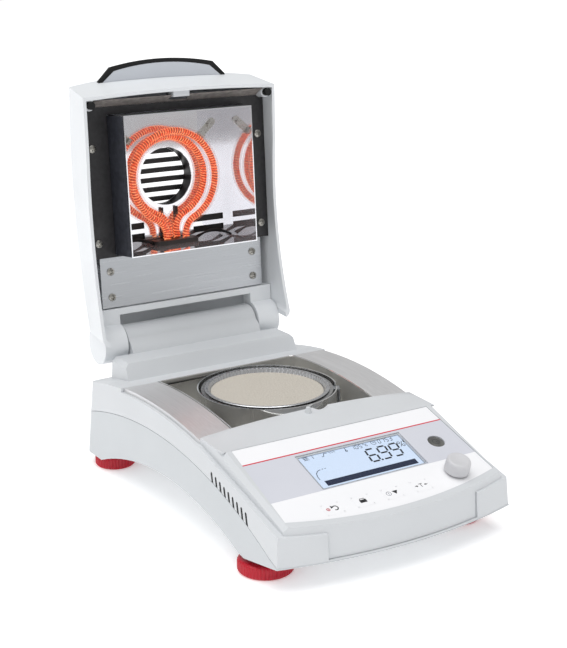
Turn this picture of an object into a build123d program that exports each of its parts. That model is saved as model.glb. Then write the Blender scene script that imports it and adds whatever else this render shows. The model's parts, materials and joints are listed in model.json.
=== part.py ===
"""Halogen moisture analyzer, lid open.

Millimetres, +X right, +Y towards the back, +Z up. Lid pieces are drawn closed and swung open when
they are written. Every piece is then moved by origin_shift, which puts the origin on the table under
the middle of the box round the analyzer with its lid open.
"""
from build123d import *
from math import acos, atan2, cos, degrees, hypot, radians, sin, tan
import os

os.makedirs("parts", exist_ok=True)

# Base housing
base_half_width = 93.8
base_top_half_width = 90.2
base_front_y = -165.5
base_rear_y = 127.5
front_bulge = 13.0
rear_corner_radius = 12.0
wall = 2.5
seam_gap = 0.3
arch_y = 27.0
arch_radius = 385.0
band_top_z = 76.4
deck_drop = 3.0
parting_y = 13.5
parting_z = 57.0
parting_radius = 370.0
under_y = -8.0
under_z = 30.5
under_radius = 270.0
skirt_z = 9.2

# Control panel
panel_angle = 18.8
strip_rear_y = -47.0
strip_rear_z = 71.3
deck_rear_z = 67.5
panel_top_y = -76.5
panel_top_z = 70.0
bezel_half_width = 88.0
bezel_crown = 4.2
shoulder_y = -165.0
shoulder_z = 35.5
skirt_half_width = 60.0
overlay_half_top = 80.8
overlay_half_bottom = 84.0
overlay_length = 74.5
overlay_bulge = 11.0
overlay_thickness = 0.6
overlay_recess = 1.0
window_size = (86.0, 36.0)
window_center_v = 36.4
key_size = (13.0, 10.0)
key_pitch = 23.6
key_count = 4
key_first_x = -47.2
key_v = 72.5
key_gap = 0.3
key_travel = 0.4
knob_x = 56.0
knob_v = 68.5
knob_radius = 8.7
knob_height = 9.0
knob_travel = 0.5
knob_shaft_radius = 3.0
level_x = 63.2
level_v = 36.0
level_radius = 6.2

# Drying chamber and weighing parts
pan_y = 9.0
pan_radius = 46.0
pan_top_z = 76.0
pan_depth = 4.5
well_half_width = 60.5
well_front_y = -46.7
well_rear_y = 67.0
well_floor_z = 50.0
well_corner = 4.5
well_lean = 1.5
sheet = 0.8
band_outer_x = 88.0
ring_outer_radius = 51.5
ring_inner_radius = 50.5
running_fit = 0.05
clearance = 0.5

# Lid, drawn closed
hinge_y = 131.0
hinge_z = 89.0
open_angle = 94.0
barrel_radius = 13.0
barrel_half_width = 57.5
ear_inner_x = 59.0
ear_outer_x = 78.5
ear_radius = 15.0
pin_radius = 4.0
lid_rim_half_width = 82.6
lid_top_half_width = 78.6
lid_front_y = -61.5
lid_front_lean = 7.1
lid_front_bulge = 2.6
lid_rear_y = 127.0
lid_wall = 2.5
lid_gap = 1.2
cover_y = 12.0
cover_radius = 380.0
cover_side_z = 113.0
cover_crown = 12.0
mirror_z = 108.6
hood_half = 54.6
hood_bottom_z = 65.0
sight_radius = 22.8
frame_z = 86.0
lamp_radii = (31.0, 40.5)
lamp_tube_radius = 4.2
lamp_z = 99.5

hinge_axis = Axis((0, hinge_y, hinge_z), (1, 0, 0))
origin_shift = Location((0, -5.0, 0))


def save(piece, label):
    """Name a finished piece and write it."""
    written = piece.part.moved(origin_shift)
    written.label = label
    export_step(written, f"parts/{label}.step")


def save_lid(piece, label):
    """Swing a piece that was drawn closed to the open lid, name it and write it."""
    written = piece.part.rotate(hinge_axis, -open_angle).moved(origin_shift)
    written.label = label
    export_step(written, f"parts/{label}.step")


def circle_z(y, y0, z0, radius):
    """Height at y of an arch whose top is at y0, z0."""
    return z0 - radius + (radius ** 2 - (y - y0) ** 2) ** 0.5


def arch_z(y, lift=0.0):
    """Height of the chamber arch, which the side bands and the lid rim follow."""
    return circle_z(y, arch_y, band_top_z + lift, arch_radius + lift)


def drafted_block(levels):
    """Block with straight back and sides and a bowed front, drafted between two plan outlines."""
    with BuildPart() as block:
        for z, half_width, front_y, rear_y, bulge, corner in levels:
            side_front_y = front_y + bulge
            with BuildSketch(Plane.XY.offset(z)) as plan:
                with BuildLine():
                    Polyline(
                        (half_width, side_front_y),
                        (half_width, rear_y),
                        (-half_width, rear_y),
                        (-half_width, side_front_y),
                    )
                    ThreePointArc(
                        (-half_width, side_front_y), (0, front_y), (half_width, side_front_y)
                    )
                make_face()
                fillet(plan.vertices().group_by(Axis.Y)[-1], corner)
        loft(ruled=True)
    return block.part


def base_block(inset):
    """Drafted block of the base's plan, smaller by inset all round."""
    draft = (base_half_width - base_top_half_width) / (77.0 - 20.0)
    levels = []
    for z in (2.0, 100.0):
        spread = draft * (20.0 - z)
        levels.append((
            z,
            base_half_width + spread - inset,
            base_front_y - spread + inset,
            base_rear_y + spread - inset,
            front_bulge,
            rear_corner_radius - inset,
        ))
    return drafted_block(levels)


def side_slab(points_maker, half_width):
    """A side profile carried across X, as a private solid."""
    with BuildPart() as slab:
        with BuildSketch(Plane.YZ):
            with BuildLine():
                points_maker()
            make_face()
        extrude(amount=half_width, both=True)
    return slab.part


def parting_height(y, lift=0.0):
    """Height of the parting line between the top and bottom housings."""
    return circle_z(y, parting_y, parting_z + lift, parting_radius + lift)


def hull_profile(drop, floor):
    """Side profile of the whole housing, lowered by drop on top and raised by floor below."""
    far_rear, far_front = 150.0, -185.0
    slope = (deck_rear_z - shoulder_z) / (strip_rear_y - shoulder_y)
    low_z = skirt_z + floor
    reach = (under_radius ** 2 - (under_radius - under_z + skirt_z) ** 2) ** 0.5
    deck = -drop - deck_drop
    ThreePointArc(
        (far_rear, arch_z(far_rear, -drop)),
        (110.0, arch_z(110.0, -drop)),
        (well_rear_y, arch_z(well_rear_y, -drop)),
    )
    Line((well_rear_y, arch_z(well_rear_y, -drop)), (well_rear_y, arch_z(well_rear_y, deck)))
    ThreePointArc(
        (well_rear_y, arch_z(well_rear_y, deck)),
        (arch_y, arch_z(arch_y, deck)),
        (strip_rear_y, arch_z(strip_rear_y, deck)),
    )
    Polyline(
        (strip_rear_y, arch_z(strip_rear_y, deck)),
        (strip_rear_y, deck_rear_z - drop),
        (far_front, shoulder_z + slope * (far_front - shoulder_y) - drop),
        (far_front, low_z),
        (under_y - reach, low_z),
    )
    ThreePointArc((under_y - reach, low_z), (under_y, under_z + floor), (under_y + reach, low_z))
    Polyline(
        (under_y + reach, low_z), (far_rear, low_z), (far_rear, arch_z(far_rear, -drop))
    )


def upper_profile(lift):
    """Everything above the parting line, raised by lift."""
    far_rear, far_front, high_z = 150.0, -185.0, 140.0
    ThreePointArc(
        (far_front, parting_height(far_front, lift)),
        (parting_y, parting_z + lift),
        (far_rear, parting_height(far_rear, lift)),
    )
    Polyline(
        (far_rear, parting_height(far_rear, lift)),
        (far_rear, high_z),
        (far_front, high_z),
        (far_front, parting_height(far_front, lift)),
    )


panel = Plane(
    origin=(0, panel_top_y, panel_top_z),
    x_dir=(1, 0, 0),
    z_dir=(0, -sin(radians(panel_angle)), cos(radians(panel_angle))),
)


def on_panel(x, v, height=0.0):
    """Plane on the sloping panel, v down from the overlay's top edge and height above it."""
    return panel.offset(height).shift_origin(panel.offset(height).from_local_coords((x, -v, 0)))


key_places = [(key_first_x + key_pitch * k, key_v) for k in range(key_count)]

slab_reach = base_half_width + 26.2
hull = base_block(0.0) & side_slab(lambda: hull_profile(0.0, 0.0), slab_reach)
cavity = base_block(wall) & side_slab(lambda: hull_profile(wall, wall), slab_reach)
upper = side_slab(lambda: upper_profile(0.0), slab_reach)
upper_open = side_slab(lambda: upper_profile(seam_gap), slab_reach)

# Rear hinge block, side vents, rear sockets and inner supports
block_half_width = 75.0
block_profile = [(78.0, 60.0), (91.0, 84.0), (112.0, 84.0), (116.0, 60.0)]
step_profile = [(110.0, 60.0), (110.0, 82.0), (114.5, 90.0), (124.0, 97.0), (131.0, 82.0), (124.0, 60.0)]
block_round = 3.0
vent_count = 9
vent_pitch = 5.6
vent_width = 2.4
vent_height = 13.0
vent_middle_y = -92.0
vent_drop = 13.0
vent_lean = -18.0
inlet_x = 52.0
socket_z = 25.0
inlet_size = (27.0, 20.0)
port_x = -40.0
port_size = (31.0, 12.5)
opening_size = (2 * (level_x + 11.8), 72.0)
opening_v = 40.0
skirt_low_z = 20.0
skirt_inset = 1.4
post_x = -4.0
post_y = -51.5
post_top_z = 78.5
scoop_x = 9.0
scoop_radius = 9.5
foot_x = base_half_width - 15.5
foot_y = -114.0
foot_radius = 18.8
foot_height = 8.7
rear_foot_x = base_half_width - 15.8
rear_foot_y = 107.0
rear_foot_radius = 15.5
stud_radius = 4.0
stud_top_z = 26.0
stud_boss_radius = 8.0
foot_places = [(-foot_x, foot_y), (foot_x, foot_y)]
rear_foot_places = [(-rear_foot_x, rear_foot_y), (rear_foot_x, rear_foot_y)]
board_height = -12.0
board_thickness = 1.6
board_size = (144.0, 66.0)
board_post_radius = 3.5
display_size = (96.0, 40.0, 5.0)
display_height = -3.0
cell_low_z = 35.0
cell_size = (58.0, 14.0, 9.0)
cell_middle_x = -20.0
cell_pad_length = 16.0
spindle_radius = 3.0
key_stem_radius = 2.0
switch_height = 2.4
encoder_size = (14.0, 14.0, 4.8)
encoder_neck_radius = 4.6
level_cup_wall = 1.2
level_cup_depth = 8.0
hub_z = 66.0

# Top housing
with BuildPart() as rear_block:
    with BuildSketch(Plane.YZ):
        with BuildLine():
            Polyline(*block_profile, close=True)
        make_face()
    extrude(amount=block_half_width, both=True)
    chamfer(rear_block.faces().sort_by(Axis.X)[0].edges().group_by(Axis.Z)[-1], block_round)
    chamfer(rear_block.faces().sort_by(Axis.X)[-1].edges().group_by(Axis.Z)[-1], block_round)
    with BuildSketch(Plane.YZ):
        with BuildLine():
            Polyline(*step_profile, close=True)
        make_face()
    extrude(amount=barrel_half_width, both=True)
    with BuildSketch(Plane.YZ.offset(-barrel_half_width)):
        with Locations((hinge_y, hinge_z)):
            Circle(barrel_radius)
    extrude(amount=2 * barrel_half_width)

with BuildPart() as top_housing:
    add(hull)
    add(cavity, mode=Mode.SUBTRACT)
    add(upper_open, mode=Mode.INTERSECT)
    add(rear_block.part)
    # Chamber opening
    with BuildSketch(Plane.XY.offset(well_floor_z - 5.0)):
        with Locations((0, (strip_rear_y + well_rear_y) / 2)):
            Rectangle(
                2 * (well_half_width + sheet + clearance), well_rear_y - strip_rear_y - 2 * seam_gap
            )
    extrude(amount=60.0, mode=Mode.SUBTRACT)
    # Opening under the control bezel for the display and the board
    with BuildSketch(on_panel(0, opening_v, -20.0)):
        Rectangle(*opening_size)
    extrude(amount=40.0, mode=Mode.SUBTRACT)
    # Gap in the front wall, which the bezel's skirt fills
    with BuildSketch(Plane.XY.offset(skirt_low_z - seam_gap)):
        with Locations((0, base_front_y)):
            Rectangle(2 * (skirt_half_width + seam_gap), 22.0)
    extrude(amount=40.0, mode=Mode.SUBTRACT)
    for side in (-1, 1):
        for k in range(vent_count):
            y = vent_middle_y + vent_pitch * (k - (vent_count - 1) / 2)
            z = shoulder_z + (deck_rear_z - shoulder_z) * (y - shoulder_y) / (strip_rear_y - shoulder_y)
            with BuildSketch(Plane.YZ.offset(side * (base_half_width - 6.0))):
                with Locations(Location((y, z - vent_drop), vent_lean)):
                    SlotOverall(vent_height, vent_width, rotation=90)
            extrude(amount=side * 12.0, mode=Mode.SUBTRACT)
        with BuildSketch(Plane.YZ.offset(side * barrel_half_width)):
            with Locations((hinge_y, hinge_z)):
                Circle(pin_radius)
        extrude(amount=-side * 20.0, mode=Mode.SUBTRACT)
save(top_housing, "top_housing")

# Bottom housing
with BuildPart() as bottom_housing:
    add(hull)
    add(cavity, mode=Mode.SUBTRACT)
    with BuildSketch(Plane.XY.offset(skirt_z)):
        with Locations(*foot_places):
            Circle(stud_boss_radius)
    extrude(amount=stud_top_z + 1.0 - skirt_z)
    # Pad for the load cell
    with BuildSketch(Plane.XY.offset(under_z)):
        with Locations((cell_middle_x - (cell_size[0] - cell_pad_length) / 2, pan_y)):
            Rectangle(cell_pad_length, cell_size[1] + 4.0)
    extrude(amount=cell_low_z - under_z)
    add(upper, mode=Mode.SUBTRACT)
    with BuildSketch(Plane.XY):
        with Locations(*foot_places):
            Circle(stud_radius + running_fit)
    extrude(amount=stud_top_z + seam_gap, mode=Mode.SUBTRACT)
    with BuildSketch(Plane.XZ.offset(-base_rear_y - 6.0)):
        with Locations((inlet_x, socket_z)):
            Rectangle(*inlet_size)
        with Locations((port_x, socket_z)):
            Rectangle(*port_size)
    extrude(amount=14.0, mode=Mode.SUBTRACT)
save(bottom_housing, "bottom_housing")

# Control bezel
with BuildPart() as crown:
    for y, z, rise in ((strip_rear_y, strip_rear_z, bezel_crown), (panel_top_y, panel_top_z, 0.05)):
        with BuildSketch(Plane.XZ.offset(-y)):
            with BuildLine():
                Polyline(
                    (bezel_half_width, z),
                    (bezel_half_width, z - 1.0),
                    (-bezel_half_width, z - 1.0),
                    (-bezel_half_width, z),
                )
                ThreePointArc((-bezel_half_width, z), (0, z + rise), (bezel_half_width, z))
            make_face()
    loft(ruled=True)

overlay_low = on_panel(0, 0, -overlay_recess)


def overlay_outline(margin):
    """The front film's outline on the panel: straight sides and a bowed front edge."""
    with BuildSketch(overlay_low) as film:
        with BuildLine():
            Polyline(
                (-overlay_half_bottom - margin, -overlay_length),
                (-overlay_half_top - margin, margin),
                (overlay_half_top + margin, margin),
                (overlay_half_bottom + margin, -overlay_length),
            )
            ThreePointArc(
                (-overlay_half_bottom - margin, -overlay_length),
                (0, -overlay_length - overlay_bulge - margin),
                (overlay_half_bottom + margin, -overlay_length),
            )
        make_face()
    return film.sketch


with BuildPart() as skirt:
    add(base_block(skirt_inset))
    add(base_block(skirt_inset + wall), mode=Mode.SUBTRACT)
    with BuildSketch(Plane.XY.offset(skirt_low_z)):
        with Locations((0, base_front_y)):
            Rectangle(2 * skirt_half_width, 30.0)
    extrude(amount=shoulder_z + 3.0 - skirt_low_z, mode=Mode.INTERSECT)

far_panel_y = -185.0
far_panel_z = panel_top_z + (far_panel_y - panel_top_y) * tan(radians(panel_angle))
with BuildPart() as control_bezel:
    with BuildSketch(Plane.YZ):
        with BuildLine():
            Polyline(
                (strip_rear_y, 50.0),
                (strip_rear_y, strip_rear_z),
                (panel_top_y, panel_top_z),
                (far_panel_y, far_panel_z),
                (far_panel_y, 30.0),
                (-130.0, 30.0),
                close=True,
            )
        make_face()
    extrude(amount=bezel_half_width, both=True)
    flanks = control_bezel.faces().filter_by(Axis.X).edges().filter_by(
        lambda e: abs(e.length - hypot(far_panel_y - panel_top_y, far_panel_z - panel_top_z)) < 0.01
    )
    chamfer(flanks, 3.0)
    add(crown.part)
    add(base_block(skirt_inset), mode=Mode.INTERSECT)
    add(hull, mode=Mode.SUBTRACT)
    add(skirt.part)
    with BuildSketch(Plane.XY.offset(strip_rear_z)):
        with Locations((post_x, post_y)):
            Circle(3.4)
    extrude(amount=post_top_z - strip_rear_z, taper=14.0)
    with Locations((scoop_x, strip_rear_y, strip_rear_z + scoop_radius + 1.6)):
        Sphere(scoop_radius, mode=Mode.SUBTRACT)
    add(overlay_outline(seam_gap))
    extrude(amount=20.0, mode=Mode.SUBTRACT)
    # Window, key, knob and level openings, and the display's seat behind the window
    with BuildSketch(on_panel(0, window_center_v, -30.0)):
        Rectangle(window_size[0] - 3.0, window_size[1] - 3.0)
    extrude(amount=40.0, mode=Mode.SUBTRACT)
    with BuildSketch(on_panel(0, window_center_v, display_height)):
        Rectangle(display_size[0], display_size[1])
    extrude(amount=-20.0, mode=Mode.SUBTRACT)
    for x, v in key_places:
        with BuildSketch(on_panel(x, v, -overlay_recess)):
            RectangleRounded(key_size[0], key_size[1], 2.0)
        extrude(amount=-key_travel - seam_gap, mode=Mode.SUBTRACT)
        with BuildSketch(on_panel(x, v, -20.0)):
            Circle(key_stem_radius + key_gap)
        extrude(amount=20.0, mode=Mode.SUBTRACT)
    with BuildSketch(on_panel(knob_x, knob_v, -20.0)):
        Circle(encoder_neck_radius)
    extrude(amount=30.0, mode=Mode.SUBTRACT)
    with BuildSketch(on_panel(level_x, level_v, -20.0)):
        Circle(level_radius + level_cup_wall)
    extrude(amount=30.0, mode=Mode.SUBTRACT)
    # Posts that carry the main board
    with BuildSketch(on_panel(0, opening_v, board_height)):
        with GridLocations(board_size[0] - 8.0, board_size[1] - 8.0, 2, 2):
            Circle(board_post_radius)
    extrude(amount=-board_height - overlay_recess - 1.0)
save(control_bezel, "control_bezel")

# Front film and what shows through it
with BuildPart() as panel_overlay:
    add(overlay_outline(0.0))
    extrude(amount=overlay_thickness)
    with BuildSketch(on_panel(0, window_center_v, -5.0)):
        Rectangle(*window_size)
    extrude(amount=10.0, mode=Mode.SUBTRACT)
    for x, v in key_places:
        with BuildSketch(on_panel(x, v, -5.0)):
            RectangleRounded(key_size[0] + 2 * key_gap, key_size[1] + 2 * key_gap, 2.0 + key_gap)
        extrude(amount=10.0, mode=Mode.SUBTRACT)
    with BuildSketch(on_panel(knob_x, knob_v, -5.0)):
        Circle(encoder_neck_radius + key_gap)
    extrude(amount=10.0, mode=Mode.SUBTRACT)
    with BuildSketch(on_panel(level_x, level_v, -5.0)):
        Circle(level_radius)
    extrude(amount=10.0, mode=Mode.SUBTRACT)
save(panel_overlay, "panel_overlay")

with BuildPart() as display_window:
    with BuildSketch(on_panel(0, window_center_v, -overlay_recess)):
        Rectangle(window_size[0] - 0.1, window_size[1] - 0.1)
    extrude(amount=overlay_thickness)
save(display_window, "display_window")

with BuildPart() as display_module:
    with BuildSketch(on_panel(0, window_center_v, display_height)):
        Rectangle(display_size[0] - seam_gap, display_size[1] - seam_gap)
    extrude(amount=-display_size[2])
    with BuildSketch(on_panel(0, window_center_v, display_height)):
        Rectangle(window_size[0] - 4.0, window_size[1] - 4.0)
    extrude(amount=1.5)
save(display_module, "display_module")

key_names = ("key_power", "key_print", "key_mode", "key_tare")
for name, (x, v) in zip(key_names, key_places):
    with BuildPart() as key:
        with BuildSketch(on_panel(x, v, -overlay_recess)):
            RectangleRounded(key_size[0], key_size[1], 2.0)
        extrude(amount=overlay_thickness)
        with BuildSketch(on_panel(x, v, -overlay_recess)):
            Circle(key_stem_radius)
        extrude(amount=board_height + overlay_recess + switch_height + key_travel + 0.1)
    save(key, name)

with BuildPart() as key_switches:
    for x, v in key_places:
        with BuildSketch(on_panel(x, v, board_height)):
            Rectangle(6.2, 6.2)
        extrude(amount=switch_height - 0.6)
        with BuildSketch(on_panel(x, v, board_height)):
            Circle(1.7)
        extrude(amount=switch_height)
save(key_switches, "key_switches")

with BuildPart() as main_board:
    with BuildSketch(on_panel(0, opening_v, board_height)):
        Rectangle(*board_size)
    extrude(amount=-board_thickness)
save(main_board, "main_board")

# Push-and-turn knob and its encoder
rotor_radius = 4.2
rotor_low = 1.5
rotor_height = 2.5
with BuildPart() as encoder:
    with BuildSketch(on_panel(knob_x, knob_v, board_height)):
        Rectangle(encoder_size[0], encoder_size[1])
    extrude(amount=encoder_size[2])
    with BuildSketch(on_panel(knob_x, knob_v, board_height)):
        Circle(encoder_neck_radius - 0.1)
    extrude(amount=-board_height - overlay_recess + 0.4)
    with BuildSketch(on_panel(knob_x, knob_v, board_height + 0.4)):
        Circle(knob_shaft_radius + running_fit)
    extrude(amount=30.0, mode=Mode.SUBTRACT)
    with BuildSketch(on_panel(knob_x, knob_v, board_height + rotor_low)):
        Circle(rotor_radius + running_fit)
    extrude(amount=rotor_height + 0.2, mode=Mode.SUBTRACT)
save(encoder, "encoder")

with BuildPart() as encoder_rotor:
    with BuildSketch(on_panel(knob_x, knob_v, board_height + rotor_low + 0.1)):
        Circle(rotor_radius)
        Circle(knob_shaft_radius + running_fit, mode=Mode.SUBTRACT)
    extrude(amount=rotor_height)
save(encoder_rotor, "encoder_rotor")

knob_lift = 0.5 + knob_travel
with BuildPart() as knob_shaft:
    with BuildSketch(on_panel(knob_x, knob_v, board_height + 0.5 + knob_travel)):
        Circle(knob_shaft_radius)
    extrude(amount=-board_height + knob_lift + knob_height - 3.0 - 0.5 - knob_travel)
save(knob_shaft, "knob_shaft")

with BuildPart() as knob:
    with BuildSketch(on_panel(knob_x, knob_v, knob_lift)):
        Circle(knob_radius)
    extrude(amount=knob_height, taper=2.0)
    fillet(knob.faces().sort_by(Axis(panel.origin, panel.z_dir))[-1].edges(), 1.6)
    with BuildSketch(on_panel(knob_x, knob_v, knob_lift)):
        Circle(knob_shaft_radius)
    extrude(amount=knob_height - 3.0, mode=Mode.SUBTRACT)
save(knob, "knob")

# Level indicator
with BuildPart() as level_cup:
    with BuildSketch(on_panel(level_x, level_v, -overlay_recess)):
        Circle(level_radius + level_cup_wall)
    extrude(amount=-level_cup_depth)
    with BuildSketch(on_panel(level_x, level_v, -overlay_recess)):
        Circle(level_radius)
    extrude(amount=-level_cup_depth + 1.0, mode=Mode.SUBTRACT)
save(level_cup, "level_cup")

with BuildPart() as level_vial:
    with BuildSketch(on_panel(level_x, level_v, -overlay_recess - level_cup_depth + 1.0)):
        Circle(level_radius - 0.1)
    extrude(amount=level_cup_depth - 1.2)
save(level_vial, "level_vial")

# Feet
with BuildPart() as foot_left:
    with BuildSketch(Plane.XY):
        with Locations(foot_places[0]):
            Circle(foot_radius)
    extrude(amount=foot_height)
    chamfer(foot_left.faces().sort_by(Axis.Z)[0].edges(), 0.8)
    with BuildSketch(Plane.XY.offset(foot_height)):
        with Locations(foot_places[0]):
            Circle(stud_radius)
    extrude(amount=stud_top_z - foot_height)
save(foot_left, "foot_left")

with BuildPart() as foot_right:
    add(foot_left.part.mirror(Plane.YZ))
save(foot_right, "foot_right")

with BuildPart() as rear_feet:
    with BuildSketch(Plane.XY):
        with Locations(*rear_foot_places):
            Circle(rear_foot_radius)
    extrude(amount=skirt_z)
save(rear_feet, "rear_feet")

# Rear sockets
with BuildPart() as power_inlet:
    with BuildSketch(Plane.XZ.offset(-base_rear_y - 3.0)):
        with Locations((inlet_x, socket_z)):
            RectangleRounded(inlet_size[0] + 5.0, inlet_size[1] + 4.0, 3.0)
    extrude(amount=2.0)
    with BuildSketch(Plane.XZ.offset(-base_rear_y - 2.0)):
        with Locations((inlet_x, socket_z)):
            Rectangle(inlet_size[0] - 0.4, inlet_size[1] - 0.4)
    extrude(amount=22.0)
    with BuildSketch(Plane.XZ.offset(-base_rear_y - 3.0)):
        with Locations((inlet_x, socket_z)):
            RectangleRounded(inlet_size[0] - 3.0, inlet_size[1] - 4.0, 4.0)
    extrude(amount=16.0, mode=Mode.SUBTRACT)
    with BuildSketch(Plane.XZ.offset(-base_rear_y + 13.0)):
        with Locations((inlet_x - 7.0, socket_z - 2.0), (inlet_x, socket_z + 2.0), (inlet_x + 7.0, socket_z - 2.0)):
            Rectangle(2.0, 4.0)
    extrude(amount=-12.0)
save(power_inlet, "power_inlet")

with BuildPart() as serial_port:
    with BuildSketch(Plane.XZ.offset(-base_rear_y - 2.0)):
        with Locations((port_x, socket_z)):
            Rectangle(port_size[0] - 0.4, port_size[1] - 0.4)
    extrude(amount=12.0)
    with BuildSketch(Plane.XZ.offset(-base_rear_y - 2.0)):
        with Locations((port_x, socket_z)):
            Trapezoid(19.0, 8.6, 80.0, rotation=180)
    extrude(amount=-4.5)
    with BuildSketch(Plane.XZ.offset(-base_rear_y - 6.5)):
        with Locations((port_x, socket_z)):
            Trapezoid(17.6, 7.2, 80.0, rotation=180)
    extrude(amount=4.0, mode=Mode.SUBTRACT)
save(serial_port, "serial_port")

# Chamber well, side bands and draft ring
well_middle_y = (well_front_y + well_rear_y) / 2
well_length = well_rear_y - well_front_y


def well_form(inset):
    """The drawn tray's form, smaller by inset, from its floor to above the deck."""
    floor_z = well_floor_z + inset
    with BuildPart() as form:
        for z, shrink in ((floor_z, well_lean), (85.0, 0.0)):
            with BuildSketch(Plane.XY.offset(z)):
                with Locations((0, well_middle_y)):
                    RectangleRounded(
                        2 * (well_half_width - inset - shrink),
                        well_length - 2 * (inset + shrink),
                        well_corner - inset,
                    )
        loft(ruled=True)
    return form.part


def band_profile():
    """Side profile under the bands' top face."""
    ThreePointArc(
        (strip_rear_y + seam_gap, arch_z(strip_rear_y + seam_gap)),
        (arch_y, band_top_z),
        (well_rear_y, arch_z(well_rear_y)),
    )
    Polyline(
        (well_rear_y, arch_z(well_rear_y)),
        (well_rear_y, 30.0),
        (strip_rear_y + seam_gap, 30.0),
        (strip_rear_y + seam_gap, arch_z(strip_rear_y + seam_gap)),
    )


below_band = side_slab(band_profile, slab_reach)
with BuildPart() as chamber_well:
    add(well_form(0.0))
    add(well_form(sheet), mode=Mode.SUBTRACT)
    add(below_band, mode=Mode.INTERSECT)
    with BuildSketch(Plane.XY.offset(well_floor_z - 1.0)):
        with Locations((0, pan_y)):
            Circle(spindle_radius + 4.0)
    extrude(amount=10.0, mode=Mode.SUBTRACT)
save(chamber_well, "chamber_well")

for name, side in (("band_left", -1), ("band_right", 1)):
    with BuildPart() as band:
        with BuildSketch(Plane.XY.offset(60.0)):
            with Locations((side * (well_half_width + band_outer_x) / 2, (strip_rear_y + seam_gap + well_rear_y) / 2)):
                Rectangle(band_outer_x - well_half_width, well_rear_y - strip_rear_y - seam_gap)
        extrude(amount=30.0)
        add(below_band, mode=Mode.INTERSECT)
        add(hull, mode=Mode.SUBTRACT)
    save(band, name)

# Draft ring, pan, lifter and weighing parts, all round the pan's axis
chamber_floor_z = well_floor_z + sheet
lifter_inner_radius = 45.4
lifter_outer_radius = 48.6
lifter_low_z = 72.4
lifter_height = 2.2
grip_angle = -28.0
grip_width = 8.0
grip_outer = 53.4
grip_low_z = 58.5
grip_end = (50.0, -38.0)
pad_height = 1.0
arm_count = 3
arm_width = 5.0
arm_reach = 40.0
arm_top_z = pan_top_z - pan_depth - seam_gap
stem_radius = 5.0

with BuildPart() as draft_ring:
    with BuildSketch(Plane.XY.offset(chamber_floor_z)):
        with Locations((0, pan_y)):
            Circle(ring_outer_radius)
            Circle(ring_inner_radius, mode=Mode.SUBTRACT)
    extrude(amount=pan_top_z - chamber_floor_z)
    with BuildSketch(Plane.XY.offset(lifter_low_z - 4.0)):
        with Locations((0, pan_y)):
            with PolarLocations(ring_outer_radius, 1, start_angle=grip_angle):
                Rectangle(8.0, grip_width + 2.0)
    extrude(amount=20.0, mode=Mode.SUBTRACT)
save(draft_ring, "draft_ring")

with BuildPart() as sample_pan:
    with BuildSketch(Plane.XZ.offset(-pan_y)):
        with BuildLine():
            Polyline(
                (0, pan_top_z - pan_depth),
                (pan_radius - 3.4, pan_top_z - pan_depth),
                (pan_radius - 2.2, pan_top_z - sheet),
                (pan_radius, pan_top_z - sheet),
                (pan_radius, pan_top_z),
                (pan_radius - 2.8, pan_top_z),
                (pan_radius - 4.0, pan_top_z - pan_depth + sheet),
                (0, pan_top_z - pan_depth + sheet),
                close=True,
            )
        make_face()
    revolve(axis=Axis((0, pan_y, 0), (0, 0, 1)))
save(sample_pan, "sample_pan")

with BuildPart() as fibre_pad:
    with BuildSketch(Plane.XY.offset(pan_top_z - pan_depth + sheet)):
        with Locations((0, pan_y)):
            Circle(pan_radius - 4.4)
    extrude(amount=pad_height)
save(fibre_pad, "fibre_pad")

with BuildPart() as pan_lifter:
    with BuildSketch(Plane.XY.offset(lifter_low_z)):
        with Locations((0, pan_y)):
            Circle(lifter_outer_radius)
            Circle(lifter_inner_radius, mode=Mode.SUBTRACT)
    extrude(amount=lifter_height)
save(pan_lifter, "pan_lifter")

grip_plane = Plane(
    origin=(0, pan_y, 0),
    x_dir=(cos(radians(grip_angle)), sin(radians(grip_angle)), 0),
    z_dir=(0, 0, 1),
)
with BuildPart() as lifter_grip:
    with BuildSketch(grip_plane.offset(lifter_low_z)):
        with Locations(((lifter_outer_radius + 0.1 + grip_outer) / 2, 0)):
            Rectangle(grip_outer - lifter_outer_radius - 0.1, grip_width)
    extrude(amount=1.2)
    with BuildSketch(grip_plane.offset(grip_low_z)):
        with Locations((grip_outer - 0.6, 0)):
            Rectangle(1.2, grip_width)
    extrude(amount=lifter_low_z + 1.2 - grip_low_z)
    grip_root = grip_plane.from_local_coords((grip_outer - 0.6, 0, 0))
    with BuildSketch(Plane.XY.offset(grip_low_z)):
        with BuildLine():
            Polyline(
                (grip_root.X - 1.4, grip_root.Y - 4.0),
                (grip_root.X + 2.2, grip_root.Y + 3.4),
                (grip_end[0] + 5.0, grip_end[1]),
                (grip_end[0] - 22.0, grip_end[1]),
                (grip_end[0] - 16.0, grip_end[1] + 3.2),
                close=True,
            )
        make_face()
    extrude(amount=1.2)
save(lifter_grip, "lifter_grip")

with BuildPart() as pan_support:
    with BuildSketch(Plane.XY.offset(arm_top_z - 2.0)):
        with Locations((0, pan_y)):
            Circle(8.0)
            with PolarLocations(arm_reach / 2, arm_count, start_angle=90):
                Rectangle(arm_reach, arm_width)
            with PolarLocations(arm_reach, arm_count, start_angle=90):
                Circle(arm_width / 2 + 1.5)
    extrude(amount=2.0)
    with BuildSketch(Plane.XY.offset(chamber_floor_z + 4.0)):
        with Locations((0, pan_y)):
            Circle(stem_radius)
    extrude(amount=arm_top_z - 2.0 - chamber_floor_z - 4.0)
    with BuildSketch(Plane.XY.offset(chamber_floor_z)):
        with Locations((0, pan_y)):
            Circle(spindle_radius + running_fit)
    extrude(amount=hub_z - chamber_floor_z, mode=Mode.SUBTRACT)
save(pan_support, "pan_support")

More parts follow.
